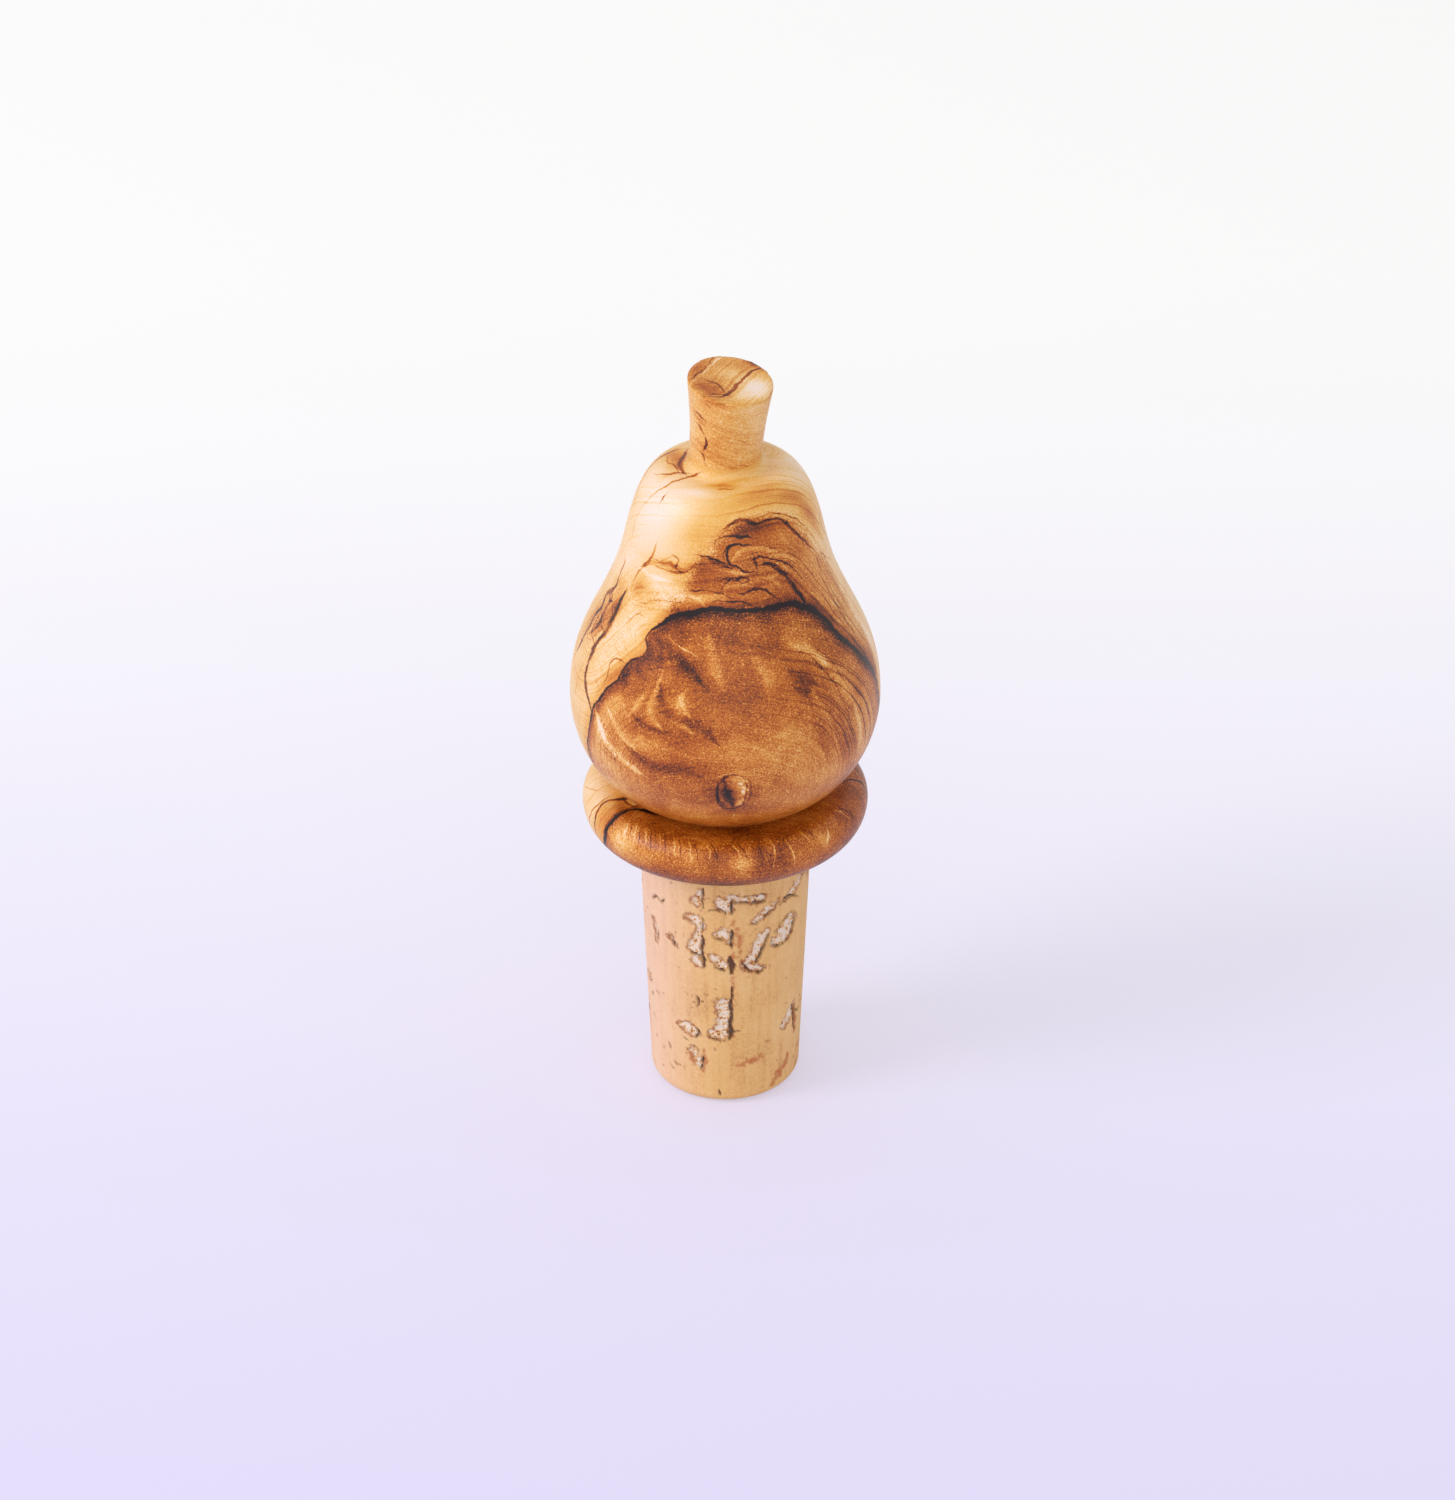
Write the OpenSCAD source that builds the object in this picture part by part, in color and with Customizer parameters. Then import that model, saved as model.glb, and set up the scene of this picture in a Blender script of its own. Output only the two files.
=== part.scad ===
// Pear-shaped bottle stopper: a turned wooden handle glued into a tapered natural cork.
// It stands on the small end of the cork. +Z runs up the turning axis, and the origin is
// the middle of the face that it stands on. Millimetres.

/* [Cork] */
// Diameter of the cork's small end, which enters the bottle
cork_tip_d = 18; // [15:0.5:20]
// Diameter of the cork's large end, against the collar
cork_top_d = 20.8; // [20:0.1:26]
// Length of the cork
cork_len = 35.7; // [28:0.1:45]
// Radius that rounds the rim of the small end
cork_rim_r = 1.6; // [0.5:0.1:2.5]

/* [Tenon] */
// Diameter of the turned tenon inside the cork
tenon_d = 9.5; // [6:0.1:11]
// Length of the tenon below the collar
tenon_len = 20; // [12:0.5:25]
// Bevel on the end of the tenon
tenon_bevel = 0.6; // [0.2:0.1:1.2]
// Glue line between the tenon and its bore, on the radius
glue_gap = 0.05; // [0.02:0.01:0.2]
// Depth of the bore past the end of the tenon
bore_relief = 0.5; // [0.2:0.1:2]

/* [Collar] */
// Diameter of the collar that stops the handle at the bottle's mouth
collar_d = 34; // [29:0.5:42]
// Thickness of the collar
collar_t = 6.2; // [4:0.1:8]
// Height of the collar's widest point, as measured from its underside
collar_wide_h = 3.3; // [1.6:0.1:3.6]
// Reach of the collar's edge curve, inwards from its widest point
collar_edge = 2.6; // [1.6:0.1:3.6]
// Rise of the domed top of the collar from its edge curve to the groove
collar_dome = 0.35; // [0:0.05:0.8]

/* [Pear] */
// Diameter at the bottom of the groove between the collar and the pear
groove_d = 22.6; // [16:0.2:25]
// Diameter of the belly
belly_d = 36.6; // [30:0.2:46]
// Height of the widest point of the belly above the groove
belly_h = 11.8; // [9:0.2:15]
// Diameter of the shoulder, where the flank turns over to the crown
shoulder_d = 23.6; // [18:0.2:28]
// Height of the shoulder above the groove
shoulder_h = 32.5; // [26:0.5:40]
// Lean of the flank at the shoulder, towards the axis
shoulder_lean = 12.4; // [5:0.1:20]
// Height of the pear's crown above the groove
pear_h = 42.2; // [36:0.2:52]

/* [Stalk] */
// Diameter of the stalk's waist, just above the crown
stalk_d = 8.4; // [6:0.1:10]
// Diameter of the stalk's flared end
stalk_tip_d = 10; // [8:0.1:13]
// Height of the stalk's end above the crown
stalk_h = 10.8; // [6:0.2:16]
// Radius of the fillet between the crown and the stalk
stalk_fillet_r = 1.2; // [0.6:0.1:2]
// Lean of the stalk to one side
stalk_lean = 3.8; // [0:0.1:8]
// Slope of the cut end towards the front
cut_front = 5.5; // [0:0.5:12]
// Slope of the cut end to the side the stalk leans to
cut_side = 7; // [0:0.5:12]

/* [Hidden] */
$fn = 96;
curve_steps = 16;    // straight steps along each curve of an outline
stalk_ledge = 0.08;  // step from the fillet to the stalk, so that the two meet cleanly
stalk_root = 1;      // depth that the stalk sinks into the pear

groove_z = cork_len + collar_t;
belly_z = groove_z + belly_h;
shoulder_z = groove_z + shoulder_h;
crown_z = groove_z + pear_h;
bore_d = tenon_d + 2 * glue_gap;

groove_r = groove_d / 2;
belly_r = belly_d / 2;
shoulder_r = shoulder_d / 2;
stalk_r = stalk_d / 2;
stalk_tip_r = stalk_tip_d / 2;
fillet_foot_r = stalk_r + stalk_fillet_r;

// Curve handles, as shares of the stretch that each one bends
groove_rise = 18.5;                              // slope of the belly as it leaves the groove
groove_pull = 0.62 * (belly_r - groove_r);
belly_pull_down = 0.44 * belly_h;
belly_pull_up = 0.43 * (shoulder_h - belly_h);
flank_pull = 0.45 * (shoulder_h - belly_h);
shoulder_pull = 0.6 * (pear_h - shoulder_h);
crown_pull = 0.65 * (shoulder_r - fillet_foot_r);

// Points of a cubic curve from a to d with handles b and c, its first point left out
function curve(a, b, c, d) = [
    for (i = [1 : curve_steps])
        let (t = i / curve_steps, u = 1 - t)
            u * u * u * a + 3 * u * u * t * b + 3 * u * t * t * c + t * t * t * d
];

// Points of an ellipse's arc round a centre, from one angle to another
function arc(centre, rx, ry, from, to) = [
    for (i = [0 : curve_steps])
        let (a = from + (to - from) * i / curve_steps)
            centre + [rx * cos(a), ry * sin(a)]
];

// Tenon, from the axis out to the underside of the collar
function tenon_outline() = [
    [0, cork_len - tenon_len],
    [tenon_d / 2 - tenon_bevel, cork_len - tenon_len],
    [tenon_d / 2, cork_len - tenon_len + tenon_bevel],
    [tenon_d / 2, cork_len]
];

// Collar: a full round edge, deeper below than above, then a low dome into the groove
function collar_outline() =
    let (
        upper = collar_t - collar_dome - collar_wide_h,
        centre = [collar_d / 2 - collar_edge, cork_len + collar_wide_h],
        top = centre + [0, upper],
        groove = [groove_r, groove_z - collar_dome]
    )
    concat(
        arc(centre, collar_edge, collar_wide_h, -90, 0),
        arc(centre, collar_edge, upper, 0, 90),
        curve(top, top + [-1, 0], groove + [1, 0.1], groove)
    );

// Pear: belly, flank and shoulder up to the crown, then the fillet round the stalk
function pear_outline() =
    let (
        groove = [groove_r, groove_z],
        belly = [belly_r, belly_z],
        shoulder = [shoulder_r, shoulder_z],
        crown = [fillet_foot_r, crown_z],
        lean = [-sin(shoulder_lean), cos(shoulder_lean)],
        rise = [cos(groove_rise), sin(groove_rise)]
    )
    concat(
        [groove],
        curve(groove, groove + groove_pull * rise, belly - [0, belly_pull_down], belly),
        curve(belly, belly + [0, belly_pull_up], shoulder - flank_pull * lean, shoulder),
        curve(shoulder, shoulder + shoulder_pull * lean, crown + [crown_pull, 0], crown),
        arc(crown + [0, stalk_fillet_r], stalk_fillet_r, stalk_fillet_r, -90, -180),
        [[0, crown_z + stalk_fillet_r]]
    );

// Stalk, upright: a waisted shaft that flares to its end, long enough for the slanted cut,
// with a root below z = 0 that sinks into the top of the fillet
module stalk_shaft() {
    waist_r = stalk_r - stalk_ledge;
    start = [waist_r, 0];
    tip = [stalk_tip_r, stalk_h - stalk_fillet_r];
    spare = stalk_tip_r * (tan(cut_front) + tan(cut_side)) + 1;
    rotate_extrude()
        polygon(concat(
            [[0, -stalk_root], [waist_r, -stalk_root], start],
            curve(start, start + [0, 0.45 * tip[1]], tip - [0.12, 1] * 0.3 * tip[1], tip),
            [tip + [0, spare], tip + [-stalk_tip_r, spare]]
        ));
}

// Stalk, leaning, with its end sawn off on a slant
module stalk() {
    rise = stalk_h - stalk_fillet_r;
    translate([0, 0, crown_z + stalk_fillet_r])
        difference() {
            rotate([0, stalk_lean, 0]) stalk_shaft();
            translate([rise * sin(stalk_lean), 0, rise])
                rotate([cut_front, cut_side, 0])
                    translate([-stalk_tip_d, -stalk_tip_d, 0])
                        cube([2 * stalk_tip_d, 2 * stalk_tip_d, stalk_h]);
        }
}

// Handle: tenon, collar, pear and stalk turned and carved from one piece of olive wood
module turned_handle() {
    color("#b8743c")
        union() {
            rotate_extrude()
                polygon(concat(tenon_outline(), collar_outline(), pear_outline()));
            stalk();
        }
}

// Cork: a tapered natural cork with a blind bore for the tenon
module cork() {
    tip_r = cork_tip_d / 2;
    bore_depth = tenon_len + bore_relief;
    color("#dcb07c")
        difference() {
            rotate_extrude()
                polygon(concat(
                    [[0, 0]],
                    arc([tip_r - cork_rim_r, cork_rim_r], cork_rim_r, cork_rim_r, -90, 0),
                    [[cork_top_d / 2, cork_len], [0, cork_len]]
                ));
            translate([0, 0, cork_len - bore_depth])
                cylinder(d = bore_d, h = bore_depth + 1);
        }
}

turned_handle();
cork();
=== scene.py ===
import math
import random

import bpy
import numpy as np
from bpy.props import FloatProperty, FloatVectorProperty, PointerProperty
from mathutils import Matrix, Vector, geometry, noise


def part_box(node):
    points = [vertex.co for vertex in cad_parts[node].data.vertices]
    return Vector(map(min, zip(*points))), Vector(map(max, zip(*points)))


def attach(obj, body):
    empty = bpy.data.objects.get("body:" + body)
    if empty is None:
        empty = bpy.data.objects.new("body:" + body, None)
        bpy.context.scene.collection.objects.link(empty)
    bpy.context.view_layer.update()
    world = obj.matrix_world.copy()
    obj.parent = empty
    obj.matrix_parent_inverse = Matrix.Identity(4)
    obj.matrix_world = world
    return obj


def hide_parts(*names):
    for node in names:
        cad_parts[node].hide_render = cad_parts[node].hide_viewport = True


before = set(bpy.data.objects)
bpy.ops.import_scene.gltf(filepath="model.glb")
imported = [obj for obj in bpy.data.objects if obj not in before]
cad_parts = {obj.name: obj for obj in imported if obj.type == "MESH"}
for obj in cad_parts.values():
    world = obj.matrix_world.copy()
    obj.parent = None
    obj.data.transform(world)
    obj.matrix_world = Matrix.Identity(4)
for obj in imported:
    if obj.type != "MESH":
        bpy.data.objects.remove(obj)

bl_info = {
    "name": "Pear Bottle Stopper",
    "version": (1, 0, 0),
    "blender": (4, 5, 0),
    "location": "View3D > Sidebar > Stopper",
    "description": "Turns an olive wood pear on a collar, and the natural cork below it",
    "category": "Add Mesh",
}

MM = 0.001
GROOVE_RISE = math.radians(18.5)        # how steeply the pear leaves the groove
HANDLE_STEPS = 320                      # steps round the handle, and its rows' height
HANDLE_ROW = 0.31 * MM
TOUCH = 0.001 * MM                      # two places closer than this are the same
CUT_RINGS = 17                          # rings of faces that close the stalk's cut end
ROUNDING = 0.29                         # how much of its reach a rounded edge gives way
CORK_STEPS = 384
CORK_ROW = 0.17 * MM
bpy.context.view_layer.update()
HANDLE_LOW, HANDLE_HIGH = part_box("turned_handle")
CORK_LOW, CORK_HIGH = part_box("cork")


# ---------------------------------------------------------------- sizes and colours

def length(name, description, value):
    return FloatProperty(name=name, description=description, default=value,
                         min=0.0, unit="LENGTH", precision=5)


def angle(name, description, degrees):
    return FloatProperty(name=name, description=description,
                         default=math.radians(degrees), unit="ROTATION")


def number(name, description, value):
    return FloatProperty(name=name, description=description, default=value, min=0.0)


def colour(name, description, red, green, blue):
    """A colour property from the 0 to 255 values of a colour picker."""
    return FloatVectorProperty(name=name, description=description, subtype="COLOR", size=3,
                               min=0.0, max=1.0, default=[linear(v / 255) for v in (red, green, blue)])


def linear(value):
    """A colour picker's value, 0 to 1, as the linear value that a shader takes."""
    return value / 12.92 if value <= 0.04045 else ((value + 0.055) / 1.055) ** 2.4


class StopperSizes(bpy.types.PropertyGroup):
    """Sizes of the handle and the cork, in metres"""
    cork_len: length("Cork length", "From the small end to the collar", CORK_HIGH.z)
    cork_tip_d: length("Cork tip", "Diameter of the cork's small end", 18 * MM)
    cork_top_d: length("Cork top", "Diameter of the cork at the collar", CORK_HIGH.x - CORK_LOW.x)
    cork_rim_r: length("Cork rim", "Radius that rounds the small end", 1.6 * MM)
    tenon_d: length("Tenon", "Diameter of the tenon inside the cork", 9.5 * MM)
    tenon_len: length("Tenon length", "How deep the tenon sits in the cork", 20 * MM)
    tenon_bevel: length("Tenon bevel", "Bevel on the end of the tenon", 0.6 * MM)
    glue_gap: length("Glue gap", "Glue line round the tenon", 0.05 * MM)
    bore_relief: length("Bore relief", "Depth of the bore past the tenon", 0.5 * MM)
    collar_d: length("Collar", "Diameter of the collar", 34 * MM)
    collar_t: length("Collar thickness", "From the collar's underside to the groove", 6.2 * MM)
    collar_wide_h: length("Collar bulge", "Height of the collar's widest point", 3.3 * MM)
    collar_edge: length("Collar edge", "Reach of the edge curve, inwards from the widest point", 2.6 * MM)
    collar_dome: length("Collar dome", "Rise from the collar's edge to the groove", 0.35 * MM)
    groove_d: length("Groove", "Diameter at the bottom of the groove", 22.6 * MM)
    belly_d: length("Belly", "Diameter of the pear's belly", HANDLE_HIGH.x - HANDLE_LOW.x)
    belly_h: length("Belly height", "Height of the belly above the groove", 11.8 * MM)
    shoulder_d: length("Shoulder", "Diameter of the pear's shoulder", 23.6 * MM)
    shoulder_h: length("Shoulder height", "Height of the shoulder above the groove", 32.5 * MM)
    shoulder_lean: angle("Shoulder lean", "Lean of the flank at the shoulder", 12.4)
    pear_h: length("Pear height", "Height of the crown above the groove", 42.2 * MM)
    stalk_d: length("Stalk", "Diameter of the stalk's waist", 8.4 * MM)
    stalk_tip_d: length("Stalk end", "Diameter of the stalk's flared end", 10 * MM)
    stalk_h: length("Stalk height", "Height of the stalk's end above the crown", 10.8 * MM)
    stalk_fillet_r: length("Stalk fillet", "Fillet between the crown and the stalk", 1.2 * MM)
    stalk_lean: angle("Stalk lean", "Lean of the stalk to one side", 3.8)
    cut_front: angle("Front slope", "Slope of the cut end towards the front", 5.5)
    cut_side: angle("Side slope", "Slope of the cut end to the side", 7)
    rim_r: length("Stalk rim", "Rounding of the stalk's cut edge", 0.3 * MM)


class WoodColours(bpy.types.PropertyGroup):
    """The wood's colours, from the palest sapwood to the blackest line"""
    cream: colour("Cream", "Palest sapwood", 245, 225, 205)
    pale: colour("Pale", "Pale sapwood", 243, 206, 150)
    gold: colour("Gold", "Golden sapwood", 232, 178, 82)
    tan: colour("Tan", "Palest heartwood", 218, 144, 62)
    orange: colour("Orange", "Orange heartwood", 194, 106, 18)
    brown: colour("Brown", "Brown heartwood", 162, 74, 10)
    dark: colour("Dark", "Dark streaks", 94, 40, 12)
    black: colour("Black", "The black lines between heartwood and sapwood", 28, 14, 9)


class CorkColours(bpy.types.PropertyGroup):
    """The cork's colours"""
    light: colour("Light", "Palest cork", 237, 202, 141)
    tan: colour("Tan", "Plain cork", 225, 176, 106)
    brown: colour("Brown", "Brown marks", 166, 98, 48)
    # painted light: the pale pinkish colour that the cork's left side is mixed towards, where the light from
    # the left falls
    left_painted_light: colour("Blush", "Paler, pinkish cork along the left side", 250, 218, 200)
    rust: colour("Rust", "Rusty marks near the small end", 186, 104, 48)
    dust: colour("Dust", "Pale dust in the open pores", 232, 214, 190)
    bark: colour("Bark", "Dark bark round the pores", 84, 50, 32)


class StudioSettings(bpy.types.PropertyGroup):
    """Camera, lights and floor"""
    camera_tilt: angle("Camera tilt", "How far the camera looks down", 32)
    camera_distance: length("Camera distance", "From the camera to the aim point", 0.70)
    aim_height: length("Aim height", "Height of the aim point on the axis", 45.13 * MM)
    sensor: number("Sensor", "Sensor's long side in millimetres", 36)
    lens: number("Lens", "Focal length in millimetres", 141.53)
    shift: number("Shift", "Camera shift to the side", 0.0015)
    key_power: number("Key", "Strength of the key light in watts", 5.8)
    fill_power: number("Fill", "Strength of the fill light in watts", 3.8)
    sky: number("Sky", "Strength of the room's light", 0.775)
    floor_near: colour("Floor near", "Floor at the front", 228, 222, 248)
    floor_far: colour("Floor far", "Floor at the back", 255, 255, 251)
    floor_glow: number("Floor glow", "Share of its own colour that the floor keeps in shadow", 0.5)


# ---------------------------------------------------------------- modelling by hand, in code

def deselect_everything():
    """An operator acts on all that is selected, and the frame's own nodes come selected."""
    bpy.ops.object.select_all(action="DESELECT")


def place(r, z):
    """A point of an outline, in the plane that is turned about the axis."""
    return Vector((r, 0.0, z))


def arc(centre, across, up, start, end, step):
    """Points of an ellipse's arc round a centre, from one angle to another, in degrees."""
    count = max(3, round(math.radians(abs(end - start)) * max(across, up) / step))
    angles = [math.radians(start + (end - start) * i / count) for i in range(count + 1)]
    return [centre + place(across * math.cos(a), up * math.sin(a)) for a in angles]


def curve(a, b, c, d, step):
    """Points of a cubic curve from a to d with handles b and c, its first point left out."""
    count = max(3, round(((b - a).length + (c - b).length + (d - c).length) / step))
    return geometry.interpolate_bezier(a, b, c, d, count + 1)[1:]


def straight(a, b, step):
    """Points of a straight line from a to b, its first point left out."""
    count = max(1, round((b - a).length / step))
    return [a.lerp(b, (i + 1) / count) for i in range(count)]


def turn_on_lathe(name, outline, steps):
    """Draws an outline point by point, then turns it round the axis into a closed body."""
    deselect_everything()
    bpy.ops.mesh.primitive_plane_add(size=MM)
    body = bpy.context.active_object
    body.name = body.data.name = name
    bpy.ops.object.mode_set(mode="EDIT")
    bpy.ops.mesh.select_all(action="SELECT")
    bpy.ops.mesh.merge(type="CENTER")
    bpy.ops.transform.translate(value=outline[0])
    for here, there in zip(outline, outline[1:]):
        bpy.ops.mesh.extrude_region_move(TRANSFORM_OT_translate={"value": there - here})
    bpy.ops.mesh.select_all(action="SELECT")
    bpy.ops.mesh.spin(steps=steps, angle=2 * math.pi, center=(0, 0, 0), axis=(0, 0, 1))
    bpy.ops.mesh.select_all(action="SELECT")
    bpy.ops.mesh.remove_doubles(threshold=0.002 * MM)
    bpy.ops.mesh.normals_make_consistent(inside=False)
    bpy.ops.object.mode_set(mode="OBJECT")
    return body


def points_of(mesh, field="co"):
    """The mesh's points as rows of three numbers, or with the field "normal" their normals."""
    found = np.empty(len(mesh.vertices) * 3)
    mesh.vertices.foreach_get(field, found)
    return found.reshape(-1, 3)


def move_points(mesh, points):
    """Puts the mesh's points at new places."""
    mesh.vertices.foreach_set("co", points.ravel())
    mesh.update()


def smooth_step(low, high, value):
    """From 0 to 1, smoothly, as the value goes from low to high."""
    t = np.clip((value - low) / (high - low), 0, 1)
    return t * t * (3 - 2 * t)


def azimuth_of(points):
    """Degrees round the axis: 0 at the front, 90 at the right and 180 at the back."""
    return np.degrees(np.arctan2(points[:, 0], -points[:, 1]))


def turned(azimuths, radii, heights):
    """Points at azimuths in degrees, and at radii and heights in metres."""
    a = np.radians(azimuths)
    return np.stack([radii * np.sin(a), -radii * np.cos(a), heights], axis=1)


def around(azimuth, middle):
    """The same azimuths, counted within half a turn of a middle one."""
    return (azimuth - middle + 180) % 360 - 180 + middle


# ---------------------------------------------------------------- the handle's form

class HandleForm:
    """The handle's outline, and where a place on its surface is. Points are in metres."""

    def __init__(self, sizes, step):
        self.sizes = s = sizes
        self.base = s.cork_len
        self.groove_z = self.base + s.collar_t
        self.crown_z = self.groove_z + s.pear_h
        self.pivot_z = self.crown_z + s.stalk_fillet_r
        self.rise = s.stalk_h - s.stalk_fillet_r
        self.tenon = self.tenon_outline(step)
        self.collar = self.collar_outline(step)
        self.pear = self.pear_outline(step)
        self.stalk = self.stalk_outline(step)
        self.outline = self.tenon + self.collar + self.pear + self.stalk
        self.cut_normal = Vector((math.cos(s.cut_front) * math.sin(s.cut_side), -math.sin(s.cut_front),
                                  math.cos(s.cut_front) * math.cos(s.cut_side)))
        self.cut_centre = Vector((self.rise * math.sin(s.stalk_lean), 0,
                                  self.pivot_z + self.rise * math.cos(s.stalk_lean)))

    def tenon_outline(self, step):
        """Tenon, from the axis out to the underside of the collar."""
        s = self.sizes
        radius = s.tenon_d / 2
        foot = s.cork_len - s.tenon_len
        under = place(s.collar_d / 2 - s.collar_edge, self.base)
        corner = place(radius, self.base)
        return [place(0, foot), place(radius - s.tenon_bevel, foot), place(radius, foot + s.tenon_bevel),
                corner] + straight(corner, under, 2.5 * step)[:-1]

    def collar_outline(self, step):
        """Collar: a full round edge, then a low dome into the groove."""
        s = self.sizes
        edge = s.collar_edge
        upper = s.collar_t - s.collar_dome - s.collar_wide_h
        centre = place(s.collar_d / 2 - edge, self.base + s.collar_wide_h)
        top = centre + place(0, upper)
        lip = place(s.groove_d / 2, self.groove_z - s.collar_dome)
        return (arc(centre, edge, s.collar_wide_h, -90, 0, step) + arc(centre, edge, upper, 0, 90, step)[1:]
                + curve(top, top - place(MM, 0), lip + place(MM, 0.1 * MM), lip, step))

    def pear_outline(self, step):
        """Pear: belly, flank and shoulder up to the crown, then the fillet round the stalk. The
        shares say how far each curve's handles reach."""
        s = self.sizes
        foot_r = s.stalk_d / 2 + s.stalk_fillet_r
        groove = place(s.groove_d / 2, self.groove_z)
        belly = place(s.belly_d / 2, self.groove_z + s.belly_h)
        shoulder = place(s.shoulder_d / 2, self.groove_z + s.shoulder_h)
        crown = place(foot_r, self.crown_z)
        lean = place(-math.sin(s.shoulder_lean), math.cos(s.shoulder_lean))
        rise = place(math.cos(GROOVE_RISE), math.sin(GROOVE_RISE))
        flank = s.shoulder_h - s.belly_h
        return ([groove]
                + curve(groove, groove + 0.62 * (belly.x - groove.x) * rise,
                        belly - place(0, 0.44 * s.belly_h), belly, step)
                + curve(belly, belly + place(0, 0.43 * flank), shoulder - 0.45 * flank * lean, shoulder, step)
                + curve(shoulder, shoulder + 0.6 * (s.pear_h - s.shoulder_h) * lean,
                        crown + place(0.65 * (shoulder.x - foot_r), 0), crown, step)
                + arc(crown + place(0, s.stalk_fillet_r), s.stalk_fillet_r, s.stalk_fillet_r,
                      -90, -180, 0.7 * step)[1:])

    def stalk_outline(self, step):
        """Stalk, upright: a waisted shaft that flares to its end, and runs past the slanted cut."""
        s = self.sizes
        start = place(s.stalk_d / 2, self.pivot_z)
        tip = place(s.stalk_tip_d / 2, self.pivot_z + self.rise)
        spare = place(0, s.stalk_tip_d / 2 * (math.tan(s.cut_front) + math.tan(s.cut_side)) + MM)
        return (curve(start, start + place(0, 0.45 * self.rise),
                      tip - place(0.12 * 0.3 * self.rise, 0.3 * self.rise), tip, 0.8 * step)
                + straight(tip, tip + spare, 0.8 * step))

    def lean(self, points):
        """Leans what is above the crown to one side, growing over the height of the fillet."""
        turn = self.sizes.stalk_lean * smooth_step(self.crown_z, self.pivot_z + self.sizes.stalk_fillet_r,
                                                   points[:, 2])
        up = points[:, 2] - self.pivot_z
        leaned = points.copy()
        leaned[:, 0] = points[:, 0] * np.cos(turn) + up * np.sin(turn)
        leaned[:, 2] = self.pivot_z + up * np.cos(turn) - points[:, 0] * np.sin(turn)
        return leaned

    def at_height(self, outline, spots):
        """Points on a turned outline, from azimuths in degrees and heights in millimetres."""
        azimuths, heights = np.array(spots, float).T
        section = np.array([(p.x, p.z) for p in outline])
        return turned(azimuths, np.interp(heights * MM, section[:, 1], section[:, 0]), heights * MM)

    def surface(self, kind):
        """The function that finds places on one of the handle's surfaces."""
        return {"pear": self.on_pear, "crown": self.on_crown, "collar": self.on_collar,
                "stalk": self.on_stalk, "cut": self.on_cut}[kind]

    def on_pear(self, spots):
        """Points on the pear, from azimuths in degrees and heights in millimetres."""
        return self.at_height(self.pear, spots)

    def on_crown(self, spots):
        """Points on the crown, from millimetres to the right and to the back of the axis."""
        across = np.array(spots, float) * MM
        crown = np.array([(p.x, p.z) for p in self.pear if p.z > self.base + 0.75 * self.sizes.pear_h])
        crown = crown[crown[:, 1] <= self.crown_z]
        radii = np.hypot(across[:, 0], across[:, 1])
        heights = np.interp(radii, crown[::-1, 0], crown[::-1, 1])
        return np.column_stack([across, heights])

    def on_collar(self, spots):
        """Points on the collar, from azimuths in degrees and millimetres round its section, which
        start at its underside."""
        azimuths, along = np.array(spots, float).T
        section = np.array([(p.x, p.z) for p in self.collar])
        run = np.concatenate([[0], np.cumsum(np.hypot(*np.diff(section, axis=0).T))]) / MM
        radii, heights = (np.interp(along, run, section[:, i]) for i in (0, 1))
        return turned(azimuths, radii, heights)

    def on_stalk(self, spots):
        """Points on the stalk, from azimuths in degrees and heights in millimetres before it leans."""
        return self.lean(self.at_height(self.stalk, spots))

    def on_cut(self, spots):
        """Points on the stalk's cut end, from millimetres to the right and to the back of its middle."""
        across = np.array(spots, float) * MM
        n, c = self.cut_normal, self.cut_centre
        heights = c.z - (n.x * across[:, 0] + n.y * across[:, 1]) / n.z
        return np.column_stack([across[:, 0] + c.x, across[:, 1], heights])


# ---------------------------------------------------------------- the handle's mesh

def model_handle(form):
    """Turns the handle upright, cuts and rounds its end, then leans the stalk."""
    s = form.sizes
    body = turn_on_lathe("olive_handle", form.outline, HANDLE_STEPS)
    upright = Matrix.Rotation(-s.stalk_lean, 3, "Y")
    normal = upright @ form.cut_normal
    centre = Vector((0, 0, form.pivot_z + form.rise))
    bpy.ops.object.mode_set(mode="EDIT")
    bpy.ops.mesh.select_all(action="SELECT")
    bpy.ops.mesh.bisect(plane_co=centre, plane_no=normal, threshold=1e-7, clear_outer=True)
    for ring in range(CUT_RINGS, 0, -1):
        bpy.ops.mesh.extrude_edges_move()
        bpy.ops.transform.resize(value=[ring / (ring + 1)] * 3, center_override=centre)
    bpy.ops.mesh.merge(type="CENTER")
    bpy.ops.mesh.select_all(action="SELECT")
    bpy.ops.mesh.normals_make_consistent(inside=False)
    bpy.ops.object.mode_set(mode="OBJECT")
    sharp = points_of(body.data)
    height = sharp[:, 2]
    on_cut = np.abs((np.array(centre) - sharp) @ np.array(normal)) < TOUCH
    regions = {"collar": (height >= form.base - TOUCH) & (height < form.groove_z - TOUCH),
               "pear": (height >= form.groove_z - TOUCH) & (height <= form.pivot_z + TOUCH),
               "stalk": (height > form.pivot_z + TOUCH) & ~on_cut, "cut": on_cut}
    upright = soften_rim(sharp, centre, normal, s.rim_r)
    move_points(body.data, form.lean(upright))
    bpy.ops.object.shade_smooth()
    return body, upright, regions


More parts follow.
